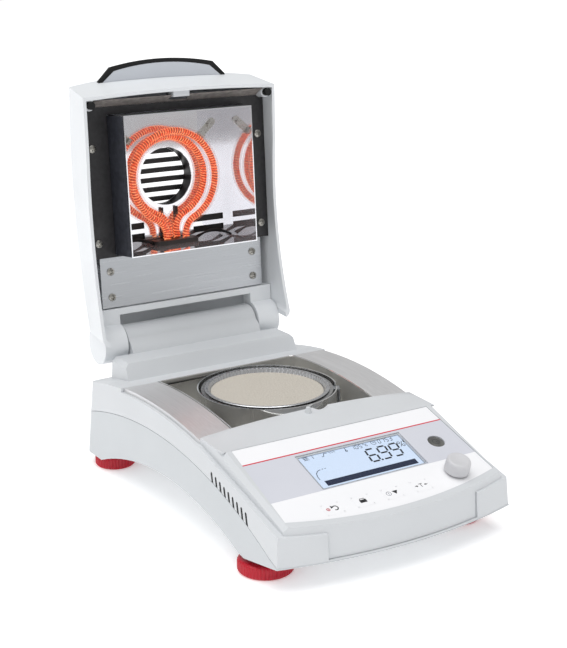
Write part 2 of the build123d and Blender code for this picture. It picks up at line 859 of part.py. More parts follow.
cell_top_z = cell_low_z + cell_size[2]
with BuildPart() as load_cell:
    with BuildSketch(Plane.XZ.offset(-pan_y + cell_size[1] / 2)):
        with Locations((cell_middle_x, cell_low_z + cell_size[2] / 2)):
            Rectangle(cell_size[0], cell_size[2])
            with Locations((-6.0, 0), (6.0, 0)):
                Circle(2.8, mode=Mode.SUBTRACT)
            SlotOverall(16.0, 2.0, mode=Mode.SUBTRACT)
    extrude(amount=-cell_size[1])
save(load_cell, "load_cell")

with BuildPart() as spindle:
    with BuildSketch(Plane.XY.offset(cell_top_z)):
        with Locations((0, pan_y)):
            Circle(spindle_radius)
    extrude(amount=hub_z - 0.3 - cell_top_z)
save(spindle, "spindle")

# Lid shell, drawn closed
lid_draft = (lid_rim_half_width - lid_top_half_width) / (cover_side_z - band_top_z)
rim_y = -15.0
rim_front_z = 73.7
slot_count = 7
slot_pitch = 7.6
slot_size = (50.0, 3.8)
plate_screw_x = lid_rim_half_width - 19.1
plate_screw_places = [(x, y) for x in (-plate_screw_x, plate_screw_x) for y in (75.0, 95.0)]
frame_screw_x = lid_rim_half_width - 10.1
frame_screw_places = [(x, y) for x in (-frame_screw_x, frame_screw_x) for y in (-20.0, 52.0)]
lid_boss_radius = 3.6
plate_z = 88.0
frame_sheet = 1.2
plate_rear_y = 103.5
frame_rear_y = 63.6
swing_gap = 1.2
screw_bore_radius = 1.6
bumper_x = lid_rim_half_width - 6.1
bumper_y = lid_front_y + 8.5
bumper_places = [(-bumper_x, bumper_y), (bumper_x, bumper_y)]
bumper_radius = 3.0
bumper_seat_radius = 4.2
bumper_low_z = 72.7
bumper_height = 5.0


def lid_block(inset):
    """Drafted block of the lid's plan, smaller by inset all round."""
    levels = []
    for z in (50.0, 140.0):
        narrow = lid_draft * (z - band_top_z)
        lean = lid_front_lean * (z - rim_front_z) / 30.6
        levels.append((
            z,
            lid_rim_half_width - narrow - inset,
            lid_front_y - lean + inset,
            lid_rear_y - narrow - inset,
            lid_front_bulge,
            6.0,
        ))
    return drafted_block(levels)


def cover_cap(drop):
    """Everything under the lid's cover, which curves both ways, lowered by drop."""
    half = 100.0
    edge_z = cover_side_z + cover_crown * (1.0 - (half / lid_top_half_width) ** 2) - drop
    with BuildPart() as cap:
        with BuildSketch(Plane.XZ.offset(-cover_y)):
            with BuildLine():
                Polyline((half, edge_z), (half, 30.0), (-half, 30.0), (-half, edge_z))
                ThreePointArc((-half, edge_z), (0, cover_side_z + cover_crown - drop), (half, edge_z))
            make_face()
        revolve(axis=Axis((0, cover_y, cover_side_z - cover_radius), (1, 0, 0)))
    return cap.part


def rim_profile():
    """Everything above the lid's rim, which follows the chamber arch and then runs forward."""
    far_rear, far_front, high_z = 160.0, -90.0, 160.0
    front_z = rim_front_z - 0.6
    ThreePointArc(
        (far_rear, arch_z(far_rear, lid_gap)),
        (arch_y, band_top_z + lid_gap),
        (rim_y, arch_z(rim_y, lid_gap)),
    )
    Polyline(
        (rim_y, arch_z(rim_y, lid_gap)),
        (lid_front_y + lid_front_bulge, rim_front_z),
        (far_front, front_z),
        (far_front, high_z),
        (far_rear, high_z),
        (far_rear, arch_z(far_rear, lid_gap)),
    )


above_rim = side_slab(rim_profile, slab_reach)
lid_outer = lid_block(0.0) & cover_cap(0.0)
lid_inner = lid_block(lid_wall) & cover_cap(lid_wall)

with BuildPart() as hinge_room:
    with BuildSketch(Plane.YZ):
        with Locations((hinge_y, hinge_z)):
            Circle(ear_radius + swing_gap)
    extrude(amount=ear_outer_x + clearance, both=True)
    with BuildSketch(Plane.YZ):
        with Locations((hinge_y, hinge_z - 25.0)):
            Rectangle(44.0, 50.0)
    extrude(amount=ear_outer_x + clearance, both=True)

with BuildPart() as lid_shell:
    # Bosses for the screws and seats for the bumpers, up to the cover
    for places, low_z, radius in (
        (plate_screw_places, plate_z + 1.0, lid_boss_radius),
        (frame_screw_places, frame_z + frame_sheet, lid_boss_radius),
        (bumper_places, bumper_low_z + bumper_height, bumper_seat_radius),
    ):
        with BuildSketch(Plane.XY.offset(low_z)):
            with Locations(*places):
                Circle(radius)
        extrude(amount=60.0)
    add(lid_inner, mode=Mode.INTERSECT)
    with BuildSketch(Plane.XY.offset(frame_z)):
        with Locations(*plate_screw_places, *frame_screw_places):
            Circle(screw_bore_radius)
    extrude(amount=10.0, mode=Mode.SUBTRACT)
    add(lid_outer - lid_inner)
    with BuildSketch(Plane.XY.offset(mirror_z)):
        with Locations((0, pan_y)):
            with GridLocations(0, slot_pitch, 1, slot_count):
                SlotOverall(*slot_size)
    extrude(amount=40.0, mode=Mode.SUBTRACT)
    add(above_rim, mode=Mode.INTERSECT)
    add(hinge_room.part, mode=Mode.SUBTRACT)
save_lid(lid_shell, "lid_shell")

# Handle at the lid's front edge
handle_z = 104.0
handle_thickness = 3.0
handle_rim = 3.0
handle_root_y = lid_front_y - 3.0
handle_shoulder_y = lid_front_y - 7.0
handle_corner_y = lid_front_y - 17.1
handle_crown_y = lid_front_y - 21.7
handle_half_root = 55.5
handle_half_tip = 45.0


def handle_outline(margin):
    """Plan of the handle plate: a shallow arched trapezium in front of the lid."""
    root = handle_half_root - margin
    tip = handle_half_tip - margin
    shoulder_y = handle_shoulder_y + margin / 2
    corner_y = handle_corner_y + margin
    with BuildSketch(Plane.XY.offset(handle_z)) as plan:
        with BuildLine():
            Polyline(
                (-tip, corner_y),
                (-root, shoulder_y),
                (-root, handle_root_y),
                (root, handle_root_y),
                (root, shoulder_y),
                (tip, corner_y),
            )
            ThreePointArc((-tip, corner_y), (0, handle_crown_y + margin), (tip, corner_y))
        make_face()
    return plan.sketch


with BuildPart() as handle_plate:
    add(handle_outline(handle_rim))
    extrude(amount=handle_thickness)
    add(lid_block(0.0), mode=Mode.SUBTRACT)
save_lid(handle_plate, "handle_plate")

with BuildPart() as handle_grip:
    add(handle_outline(0.0))
    extrude(amount=handle_thickness)
    add(handle_outline(handle_rim))
    extrude(amount=handle_thickness, mode=Mode.SUBTRACT)
    add(lid_block(0.0), mode=Mode.SUBTRACT)
save_lid(handle_grip, "handle_grip")

# Rubber bumpers and the catch tab at the rim
with BuildPart() as bumpers:
    with BuildSketch(Plane.XY.offset(bumper_low_z)):
        with Locations(*bumper_places):
            Circle(bumper_radius)
    extrude(amount=bumper_height)
save_lid(bumpers, "bumpers")

with BuildPart() as catch_tab:
    with BuildSketch(Plane.XY.offset(rim_front_z + 1.4)):
        with Locations((0, lid_front_y + lid_wall + 1.4)):
            Rectangle(14.0, 6.0)
    extrude(amount=9.0)
    add(lid_inner, mode=Mode.INTERSECT)
save_lid(catch_tab, "catch_tab")

# Dark frame plate and the sloping front apron
hood_wall = 0.8
hood_outer = hood_half + hood_wall
hood_front = pan_y - hood_outer + 2.0
hood_rear = pan_y + hood_outer - 2.0
frame_half = lid_rim_half_width - lid_draft * (frame_z - band_top_z) - lid_wall - seam_gap
frame_front_y = -50.5
jacket_reach = 3.4
apron_top = (-50.7, frame_z + 0.9)
apron_low = (-56.4, 76.6)

with BuildPart() as lid_frame:
    with BuildSketch(Plane.XY.offset(frame_z)):
        with Locations((0, (frame_front_y + frame_rear_y) / 2)):
            Rectangle(2 * frame_half, frame_rear_y - frame_front_y)
        with Locations((0, pan_y)):
            Rectangle(
                2 * (hood_outer + jacket_reach + seam_gap),
                hood_rear - hood_front + 2 * seam_gap,
                mode=Mode.SUBTRACT,
            )
        with Locations(*frame_screw_places):
            Circle(screw_bore_radius, mode=Mode.SUBTRACT)
        with Locations(*bumper_places):
            Circle(bumper_seat_radius + seam_gap, mode=Mode.SUBTRACT)
    extrude(amount=frame_sheet)
save_lid(lid_frame, "lid_frame")

with BuildPart() as front_apron:
    with BuildSketch(Plane.YZ):
        with BuildLine():
            Polyline(
                apron_low,
                apron_top,
                (apron_top[0], apron_top[1] - 1.2),
                (apron_low[0] + 0.8, apron_low[1] - 0.3),
                close=True,
            )
        make_face()
    extrude(amount=frame_half - 2.0, both=True)
    with BuildSketch(Plane.XY.offset(60.0)):
        with Locations((0, apron_low[0])):
            Rectangle(16.0, 8.0)
        with Locations(*bumper_places):
            Circle(bumper_seat_radius + seam_gap)
    extrude(amount=40.0, mode=Mode.SUBTRACT)
save_lid(front_apron, "front_apron")


def lid_screws(places, head_z):
    """Pan-head screws driven up into the lid's bosses."""
    with BuildPart() as screws:
        with BuildSketch(Plane.XY.offset(head_z)):
            with Locations(*places):
                Circle(3.0)
        extrude(amount=-1.4)
        with BuildSketch(Plane.XY.offset(head_z)):
            with Locations(*places):
                Circle(1.5)
        extrude(amount=6.0)
    return screws


frame_screws = lid_screws(frame_screw_places, frame_z)
save_lid(frame_screws, "frame_screws")
plate_screws = lid_screws(plate_screw_places, plate_z)
save_lid(plate_screws, "plate_screws")

with BuildPart() as steel_plate:
    with BuildSketch(Plane.XY.offset(plate_z)):
        with Locations((0, (frame_rear_y + plate_rear_y) / 2)):
            Rectangle(2 * 72.0, plate_rear_y - frame_rear_y - 2 * seam_gap)
        with Locations(*plate_screw_places):
            Circle(screw_bore_radius, mode=Mode.SUBTRACT)
    extrude(amount=1.0)
save_lid(steel_plate, "steel_plate")

# Mirror hood round the lamp, and its dark side jackets
vent_places = [(x, y) for x in (-36.0, 36.0) for y in (46.0, 54.5)]
with BuildPart() as mirror_hood:
    with BuildSketch(Plane.XY.offset(hood_bottom_z)):
        with Locations((0, (hood_front + hood_rear) / 2)):
            Rectangle(2 * hood_outer, hood_rear - hood_front)
            Rectangle(2 * hood_half, hood_rear - hood_front - 2 * hood_wall, mode=Mode.SUBTRACT)
    extrude(amount=mirror_z - hood_bottom_z)
    with BuildSketch(Plane.XY.offset(mirror_z)):
        with Locations((0, (hood_front + hood_rear) / 2)):
            Rectangle(2 * hood_outer, hood_rear - hood_front)
        with Locations((0, pan_y)):
            Circle(sight_radius, mode=Mode.SUBTRACT)
        with Locations(*vent_places):
            Rectangle(28.0, 5.0, mode=Mode.SUBTRACT)
    extrude(amount=hood_wall)
save_lid(mirror_hood, "mirror_hood")

for name, side in (("jacket_left", -1), ("jacket_right", 1)):
    root_x = side * (hood_outer + 0.3)
    bow_x = side * (hood_outer + jacket_reach)
    with BuildPart() as jacket:
        with BuildSketch(Plane.XZ.offset(-hood_front - 0.5)):
            with BuildLine():
                ThreePointArc((root_x, hood_bottom_z + 1.0), (bow_x - side * 1.0, 76.0), (bow_x, frame_z + 10.0))
                Line((bow_x, frame_z + 10.0), (bow_x - side * 0.8, frame_z + 10.0))
                ThreePointArc(
                    (bow_x - side * 0.8, frame_z + 10.0),
                    (bow_x - side * 1.8, 76.0),
                    (root_x, hood_bottom_z + 3.4),
                )
                Line((root_x, hood_bottom_z + 3.4), (root_x, hood_bottom_z + 1.0))
            make_face()
        extrude(amount=-(hood_rear - hood_front - 1.0))
    save_lid(jacket, name)

# Sight tube between the mirror and the cover's slots
with BuildPart() as sight_tube:
    with BuildSketch(Plane.XY.offset(mirror_z + hood_wall)):
        with Locations((0, pan_y)):
            Circle(sight_radius + 1.4)
            Circle(sight_radius, mode=Mode.SUBTRACT)
    extrude(amount=30.0)
    add(lid_inner, mode=Mode.INTERSECT)
save_lid(sight_tube, "sight_tube")

# Halogen ring lamp: two concentric loops whose legs meet in the base
lamp_neck_y = 49.0
lamp_leg_x = (4.7, 13.6)
lamp_leg_end = 53.0
with BuildPart() as halogen_lamp:
    for radius, leg_x in zip(lamp_radii, lamp_leg_x):
        reach = hypot(leg_x, lamp_leg_end)
        touch = atan2(lamp_leg_end, leg_x) - acos(radius / reach)
        right = (radius * cos(touch), pan_y + radius * sin(touch), lamp_z)
        left = (-right[0], right[1], lamp_z)
        with BuildLine() as loop:
            Line((leg_x, pan_y + lamp_leg_end, lamp_z), right)
            ThreePointArc(right, (0, pan_y - radius, lamp_z), left)
            Line(left, (-leg_x, pan_y + lamp_leg_end, lamp_z))
        with BuildSketch(Plane(origin=loop.line @ 0, z_dir=loop.line % 0)):
            Circle(lamp_tube_radius)
        sweep(path=loop.line)
    with BuildSketch(Plane.XZ.offset(-pan_y - lamp_neck_y)):
        with Locations((0, lamp_z)):
            Rectangle(60.0, 20.0)
    extrude(amount=-20.0, mode=Mode.SUBTRACT)
save_lid(halogen_lamp, "halogen_lamp")

with BuildPart() as lamp_base:
    with BuildSketch(Plane.XZ.offset(-pan_y - lamp_neck_y)):
        with Locations((0, lamp_z)):
            RectangleRounded(38.0, 12.0, 3.0)
    extrude(amount=-(hood_rear - hood_wall - pan_y - lamp_neck_y))
save_lid(lamp_base, "lamp_base")

# Clips screwed to the mirror, each with a tongue over the outer lamp tube
clip_places = [(-38.0, -26.0), (38.0, -26.0)]
with BuildPart() as lamp_clips:
    for x, y in clip_places:
        lean = degrees(atan2(y - pan_y, x))
        with BuildSketch(Plane.XY.offset(mirror_z)):
            with Locations(Location((x, y), lean)):
                SlotOverall(20.0, 6.0)
        extrude(amount=-1.0)
        with BuildSketch(Plane.XY.offset(mirror_z)):
            with Locations(Location((x, y), lean)):
                with Locations((-7.5, 0)):
                    Rectangle(2.4, 5.0)
        extrude(amount=lamp_z + lamp_tube_radius + seam_gap - mirror_z)
        with BuildSketch(Plane.XY.offset(mirror_z)):
            with Locations(Location((x, y), lean)):
                with Locations((4.0, 0)):
                    Circle(2.4)
        extrude(amount=-2.2)
save_lid(lamp_clips, "lamp_clips")

# Sensor rods from the sight hole to the back wall
rod_x = (-6.5, 6.5)
with BuildPart() as sensor_rods:
    for x in rod_x:
        with BuildSketch(Plane.XZ.offset(-pan_y - sight_radius - 1.5)):
            with Locations((x, mirror_z - 1.9)):
                Circle(1.1)
        extrude(amount=-(hood_rear - hood_wall - pan_y - sight_radius - 1.5))
    with BuildSketch(Plane.XY.offset(mirror_z - 3.0)):
        with Locations((rod_x[0], pan_y + lamp_neck_y - 3.0), (rod_x[1], pan_y + lamp_neck_y - 3.0)):
            Rectangle(3.0, 3.0)
    extrude(amount=3.0)
save_lid(sensor_rods, "sensor_rods")

# Rear cover with the two hinge ears, and the pins they turn on
arm_low_z = 86.0
arm_high_z = 97.0
arm_front_y = 104.0
with BuildPart() as lid_rear_cover:
    for side in (-1, 1):
        with BuildSketch(Plane.YZ.offset(side * ear_inner_x)):
            with Locations((hinge_y, hinge_z)):
                Circle(ear_radius)
            with Locations(((arm_front_y + hinge_y) / 2, (arm_low_z + arm_high_z) / 2)):
                Rectangle(hinge_y - arm_front_y, arm_high_z - arm_low_z)
        extrude(amount=side * (ear_outer_x - ear_inner_x))
    with BuildSketch(Plane.XY.offset(arm_low_z)):
        with Locations((0, arm_front_y + 2.5)):
            Rectangle(2 * ear_outer_x, 5.0)
    extrude(amount=4.0)
    for side in (-1, 1):
        with BuildSketch(Plane.YZ.offset(side * ear_inner_x)):
            with Locations((hinge_y, hinge_z)):
                Circle(pin_radius + running_fit)
        extrude(amount=side * 12.0, mode=Mode.SUBTRACT)
    add(lid_shell.part, mode=Mode.SUBTRACT)
save_lid(lid_rear_cover, "lid_rear_cover")

with BuildPart() as hinge_pins:
    for side in (-1, 1):
        with BuildSketch(Plane.YZ.offset(side * (barrel_half_width - 20.0))):
            with Locations((hinge_y, hinge_z)):
                Circle(pin_radius)
        extrude(amount=side * (20.0 + ear_inner_x - barrel_half_width + 11.7))
save(hinge_pins, "hinge_pins")
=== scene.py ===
# %% [markdown]
# # A benchtop moisture analyzer in Blender
#
# The instrument weighs a sample on a thin aluminium pan while a ring lamp in the lid dries it. Its
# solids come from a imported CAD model, which this lesson loads and never changes. Round them it builds
# what the eye reads first: the moulded housings with their softened edges, the printed panel, the
# glowing lamp in its mirror box, the fluted pan, and a finish for every surface.

import json
from math import atan2, cos, degrees, pi, radians, sin

import bmesh
import bpy
import numpy as np
from mathutils import Matrix, Vector


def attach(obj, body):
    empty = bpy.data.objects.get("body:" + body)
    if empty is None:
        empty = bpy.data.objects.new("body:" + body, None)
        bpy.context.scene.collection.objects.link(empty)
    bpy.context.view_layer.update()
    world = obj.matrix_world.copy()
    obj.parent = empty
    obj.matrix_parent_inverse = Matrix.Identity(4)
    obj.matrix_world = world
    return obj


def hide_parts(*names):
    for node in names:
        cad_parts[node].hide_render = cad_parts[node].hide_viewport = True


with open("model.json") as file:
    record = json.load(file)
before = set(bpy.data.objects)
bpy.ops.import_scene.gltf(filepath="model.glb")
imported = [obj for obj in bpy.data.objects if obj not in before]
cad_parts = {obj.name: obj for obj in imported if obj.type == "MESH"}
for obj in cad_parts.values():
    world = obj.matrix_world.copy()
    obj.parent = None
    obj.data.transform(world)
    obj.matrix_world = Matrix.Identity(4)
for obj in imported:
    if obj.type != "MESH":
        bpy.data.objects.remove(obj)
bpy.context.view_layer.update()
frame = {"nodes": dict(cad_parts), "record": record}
nodes = frame["nodes"]
body_of_node = {
    node: body for body, names in frame["record"]["behaviour"]["bodies"].items() for node in names
}

# %% [markdown]
# ## One ruler for everything
#
# The housings were drawn in millimetres on a drawing whose Y axis starts 5 mm in front of the frame's
# origin, with the lid closed. Two small functions carry drawing points to the frame. The second also
# swings them open with the lid, so that lid pieces can be worked out flat and closed, which is easier
# to think about.

# %% From the drawing to the frame
DRAWING_SHIFT_Y = -5.0
HINGE_Y, HINGE_Z = 131.0, 89.0
OPEN_ANGLE = radians(-94.0)
PAN_Y = 9.0


def placed(points):
    """Drawing millimetres to frame metres."""
    points = np.array(points, dtype=float)
    points[..., 1] += DRAWING_SHIFT_Y
    return points / 1000.0


def opened(points):
    """Closed-lid millimetres, turned about the hinge line by the opening angle, to frame metres."""
    points = np.array(points, dtype=float)
    y, z = points[..., 1] - HINGE_Y, points[..., 2] - HINGE_Z
    swung = points.copy()
    swung[..., 1] = HINGE_Y + y * cos(OPEN_ANGLE) - z * sin(OPEN_ANGLE)
    swung[..., 2] = HINGE_Z + y * sin(OPEN_ANGLE) + z * cos(OPEN_ANGLE)
    return placed(swung)


PANEL_ANGLE = radians(18.8)
PANEL_ORIGIN = np.array([0.0, -76.5, 70.0])
PANEL_DOWN = np.array([0.0, -cos(PANEL_ANGLE), -sin(PANEL_ANGLE)])
PANEL_NORMAL = np.array([0.0, -sin(PANEL_ANGLE), cos(PANEL_ANGLE)])


def on_panel(x, v, height=0.0):
    """Drawing point x across the sloping panel, v down it and height above it, as whole arrays."""
    x, v, height = np.broadcast_arrays(*(np.asarray(value, float) for value in (x, v, height)))
    across = x[..., None] * np.array([1.0, 0.0, 0.0])
    return PANEL_ORIGIN + across + v[..., None] * PANEL_DOWN + height[..., None] * PANEL_NORMAL


print("panel falls", round(degrees(PANEL_ANGLE), 1), "degrees towards the operator")

# %% [markdown]
# ## Camera and studio
#
# The photograph was taken from the left, a little above, with a long lens. The camera here stands
# where the straight edges and the round pan of the photograph put it, and its lens gives the same
# perspective. A big soft lamp, a wide sky and a pale floor give the even light of a catalogue picture.



# %% Camera
def add_object(name, data):
    """A new object in the scene."""
    made = bpy.data.objects.new(name, data)
    bpy.context.scene.collection.objects.link(made)
    return made


CAMERA_MM = (-521.7, -831.3, 408.9)
CAMERA_RIGHT = Vector((0.8427, -0.5384, -0.0025)).normalized()
CAMERA_BACK = Vector((-0.5167, -0.81, 0.2773)).normalized()
FOCAL_PIXELS = 1420.8
PHOTO_LONG_SIDE = 648
SENSOR = 36.0

camera_data = bpy.data.cameras.new("camera")
camera_data.sensor_width = SENSOR
camera_data.sensor_fit = "AUTO"
camera_data.lens = FOCAL_PIXELS * SENSOR / PHOTO_LONG_SIDE
camera_data.clip_start = 0.05
camera_data.clip_end = 20.0
camera = add_object("camera", camera_data)
camera_up = CAMERA_BACK.cross(CAMERA_RIGHT)
turn = Matrix((CAMERA_RIGHT, camera_up, CAMERA_BACK)).transposed()
camera.matrix_world = Matrix.Translation(Vector(placed(CAMERA_MM))) @ turn.to_4x4()
bpy.context.scene.camera = camera
print("lens", round(camera_data.lens, 1), "mm")

# %% Studio
KEY_PLACE, KEY_AIM, KEY_SIZE, KEY_WATTS = Vector((-1.3, 0.2, 1.1)), Vector((0.0, 0.0, 0.1)), 1.2, 3.0
key_data = bpy.data.lights.new("key_light", "AREA")
key_data.shape = "SQUARE"
key_data.size = KEY_SIZE
key_data.energy = KEY_WATTS
key_light = add_object("key_light", key_data)
key_light.location = KEY_PLACE
key_light.rotation_euler = (KEY_AIM - KEY_PLACE).to_track_quat("-Z", "Y").to_euler()

SKY_STRENGTH, SKY_WIDTH, SKY_TILT = 1.75, radians(60.0), (radians(6.0), radians(-8.0), 0.0)
sky_data = bpy.data.lights.new("sky_light", "SUN")
sky_data.energy = SKY_STRENGTH
sky_data.angle = SKY_WIDTH
add_object("sky_light", sky_data).rotation_euler = SKY_TILT

WORLD_STRENGTH = 0.44
world = bpy.data.worlds.new("studio")
world.use_nodes = True
background = world.node_tree.nodes["Background"]
background.inputs["Color"].default_value = (1.0, 1.0, 1.0, 1.0)
background.inputs["Strength"].default_value = WORLD_STRENGTH
bpy.context.scene.world = world
bpy.context.scene.view_settings.view_transform = "Standard"
print("lamps:", len(bpy.data.lights))

# %% [markdown]
# ## Finishes
#
# Every finish starts from the same shader and gets its own small irregularities: a slow drift in
# colour, a finer drift in gloss, and a grain in the surface. All of them read Object coordinates, so
# they stay put on a piece when it moves. Brushed steel uses the same grain, stretched along one way.


# %% Material helpers
def rgb(red, green, blue):
    """Screen colour in 0 to 255 to the linear colour that a shader takes."""
    values = []
    for channel in (red, green, blue):
        share = channel / 255.0
        values.append(share / 12.92 if share <= 0.04045 else ((share + 0.055) / 1.055) ** 2.4)
    return (*values, 1.0)


class Recipe:
    """A material under construction: its tree, its main shader and short ways to add nodes."""

    def __init__(self, name, **settings):
        self.material = bpy.data.materials.new(name)
        self.material.use_nodes = True
        self.tree = self.material.node_tree
        self.shader = self.tree.nodes["Principled BSDF"]
        for key, value in settings.items():
            self.shader.inputs[key.replace("_", " ")].default_value = value
        self.place = self.tree.nodes.new("ShaderNodeTexCoord").outputs["Object"]

    def node(self, kind, links=(), **settings):
        """A new node with its properties set and its inputs linked or filled by (input, value) pairs."""
        made = self.tree.nodes.new(kind)
        for key, value in settings.items():
            setattr(made, key, value)
        for key, value in links:
            if isinstance(value, bpy.types.NodeSocket):
                self.tree.links.new(value, made.inputs[key])
            else:
                made.inputs[key].default_value = value
        return made

    def stretched(self, scale):
        """Object coordinates scaled along each axis."""
        links = (("Vector", self.place), ("Scale", scale))
        return self.node("ShaderNodeMapping", links).outputs["Vector"]

    def noise(self, scale, detail=2.0, vector=None):
        """Noise of about 1/scale metres a blob."""
        links = (("Vector", vector or self.place), ("Scale", scale), ("Detail", detail))
        return self.node("ShaderNodeTexNoise", links).outputs["Fac"]

    def ramp(self, factor, stops):
        """Colours or greys at places along a factor."""
        made = self.node("ShaderNodeValToRGB", (("Fac", factor),))
        elements = made.color_ramp.elements
        while len(elements) < len(stops):
            elements.new(0.5)
        for element, (where, colour) in zip(elements, stops):
            element.position = where
            element.color = colour if len(colour) == 4 else (*colour, 1.0)
        return made.outputs["Color"]

    def math(self, operation, first, second=0.0):
        """One step of arithmetic."""
        return self.node("ShaderNodeMath", ((0, first), (1, second)), operation=operation).outputs[0]

    def mix(self, factor, first, second):
        """Colour from first to second by factor."""
        links = ((0, factor), (6, first), (7, second))
        return self.node("ShaderNodeMix", links, data_type="RGBA").outputs[2]

    def vary(self, colour, second, scale, low=0.35, high=0.65):
        """Base colour that drifts from colour to second."""
        share = self.ramp(self.noise(scale, 3.0), ((low, (0, 0, 0)), (high, (1, 1, 1))))
        return self.plug(self.mix(share, colour, second), "Base Color")

    def rough(self, low, high, scale, vector=None):
        """Roughness that drifts from low to high."""
        share = self.ramp(self.noise(scale, 2.0, vector), ((0.3, (low,) * 3), (0.7, (high,) * 3)))
        return self.plug(share, "Roughness")

    def grain(self, scale, strength, distance=0.0002, vector=None, detail=2.0):
        """A fine surface grain."""
        height = self.noise(scale, detail, vector)
        links = (("Height", height), ("Strength", strength), ("Distance", distance))
        return self.plug(self.node("ShaderNodeBump", links).outputs["Normal"], "Normal")

    def plug(self, value, name):
        """Links value to the main shader's input."""
        self.tree.links.new(value, self.shader.inputs[name])
        return self


MOULD_GRAIN = 1400.0


def moulded(name, colour, roughness, texture=0.06, drift=0.97):
    """Moulded plastic: a colour with a faint drift, an even sheen and a fine texture."""
    second = tuple(c * drift for c in colour[:3]) + (1.0,)
    recipe = Recipe(name, IOR=1.46)
    recipe.vary(colour, second, 18.0)
    recipe.rough(roughness - 0.03, roughness + 0.05, 60.0)
    recipe.grain(MOULD_GRAIN, texture)
    return recipe.material


def brushed(name, colour, low, high, stretch, strength=0.25, metallic=1.0):
    """Metal with fine scratches along the axis that stretch leaves short."""
    recipe = Recipe(name, Metallic=metallic)
    lines = recipe.stretched(stretch)
    darker = tuple(c * 0.9 for c in colour[:3]) + (1.0,)
    share = recipe.ramp(recipe.noise(1.0, 4.0, lines), ((0.3, (0, 0, 0)), (0.7, (1, 1, 1))))
    recipe.plug(recipe.mix(share, darker, colour), "Base Color")
    recipe.rough(low, high, 1.0, lines)
    recipe.grain(1.0, strength, 0.00005, lines)
    return recipe.material


# %% Plastics
white_plastic = moulded("white_plastic", rgb(234, 237, 240), 0.34)
base_plastic = moulded("base_plastic", rgb(214, 217, 220), 0.34)
shade_plastic = moulded("shade_plastic", rgb(206, 210, 213), 0.42)
black_plastic = moulded("black_plastic", rgb(22, 22, 23), 0.45, 0.2)
black_rubber = moulded("black_rubber", rgb(14, 14, 15), 0.7, 0.35, 0.8)
handle_plastic = moulded("handle_plastic", rgb(208, 212, 219), 0.3, 0.1)
knob_plastic = moulded("knob_plastic", rgb(209, 209, 212), 0.4, 0.3)
crimson_plastic = moulded("crimson_plastic", rgb(190, 0, 35), 0.3, 0.05, 0.85)
ceramic = moulded("ceramic", rgb(58, 52, 50), 0.4, 0.3, 0.8)
board_green = moulded("board_green", rgb(20, 82, 45), 0.35, 0.05, 0.8)
print("materials so far:", len(bpy.data.materials))

# %% Metals
band_steel = brushed("band_steel", rgb(228, 228, 229), 0.28, 0.42, (900.0, 12.0, 900.0), 0.1, 0.6)
plate_steel = brushed("plate_steel", rgb(184, 187, 191), 0.26, 0.38, (14.0, 900.0, 900.0), 0.1)
turned_steel = brushed("turned_steel", rgb(188, 188, 188), 0.2, 0.35, (500.0, 500.0, 40.0))
screw_steel = brushed("screw_steel", rgb(176, 174, 168), 0.22, 0.4, (800.0, 800.0, 800.0))
foil = brushed("foil", rgb(214, 215, 217), 0.22, 0.36, (700.0, 700.0, 60.0), 0.1)
brass = brushed("brass", rgb(196, 168, 100), 0.2, 0.35, (500.0, 500.0, 40.0))


def polished(name, colour, low, high, scale, metallic=1.0):
    """Bright sheet: a mirror with faint heat streaks and wiping marks."""
    recipe = Recipe(name, Metallic=metallic)
    recipe.vary(colour, tuple(c * 0.9 for c in colour[:3]) + (1.0,), scale)
    recipe.rough(low, high, scale * 2.0)
    recipe.grain(scale * 3.0, 0.04, 0.0004)
    return recipe.material


# The well's pale colour, with a share of it left unmetallic, is painted reflection that brightens it beyond
# what the steel mirrors.
well_steel_and_reflection = polished("well_steel_and_reflection", rgb(236, 235, 231), 0.12, 0.24, 22.0, 0.72)
ring_chrome = polished("ring_chrome", rgb(232, 232, 231), 0.04, 0.1, 40.0, 0.9)
# The mirror's pale colour, with a share of it left unmetallic, is painted reflection that brightens it as
# if it mirrored a bright room.
mirror_sheet_and_reflection = polished("mirror_sheet_and_reflection", rgb(246, 247, 251), 0.02, 0.06, 14.0, 0.86)


def baked_paint(name, colour):
    """Heat-resistant dark paint: half matt, speckled and slightly uneven."""
    recipe = Recipe(name, IOR=1.5)
    recipe.vary(colour, tuple(c * 0.6 for c in colour[:3]) + (1.0,), 320.0)
    recipe.rough(0.32, 0.5, 90.0)
    recipe.grain(2600.0, 0.15)
    return recipe.material


frame_paint = baked_paint("frame_paint", rgb(38, 37, 40))
# The apron's paint is lighter than its real dark paint: painted reflection, standing in for the light it
# reflects.
apron_paint_and_reflection = baked_paint("apron_paint_and_reflection", rgb(148, 141, 137))
jacket_paint = baked_paint("jacket_paint", rgb(52, 54, 62))
tube_paint = baked_paint("tube_paint", rgb(34, 34, 36))
print("materials:", len(bpy.data.materials))

# %% [markdown]
# ## Moulded edges on the CAD solids
#
# A moulded housing never has a knife edge: the mould is rounded a little, and light catches there.
# The CAD solids arrive as loose triangles with sharp edges. A copy of each is merged, its flat faces
# are joined, and a Bevel modifier rounds what is left. The copy then stands for the CAD node.
#
# The lower edge of the real housing also rises towards the front, more than in the CAD solids. A
# formula lifts the lowest points of both housings' copies, which keeps every other edge where it was.


# %% Soften a node's edges
SHADE_ANGLE = radians(32.0)
CREASE_ANGLE = radians(38.0)


def finish_mesh(mesh, material):
    """One material, and smooth shading broken at creases."""
    mesh.materials.clear()
    mesh.materials.append(material)
    mesh.polygons.foreach_set("use_smooth", np.ones(len(mesh.polygons), dtype=bool))
    mesh.set_sharp_from_angle(angle=SHADE_ANGLE)


CHIN_Y = (-147.0, -131.0, -110.0)
CHIN_LIFT = (9.4, 5.2, 0.0)
SKIRT_Z, CHIN_TOP_Z = 9.2, 19.7


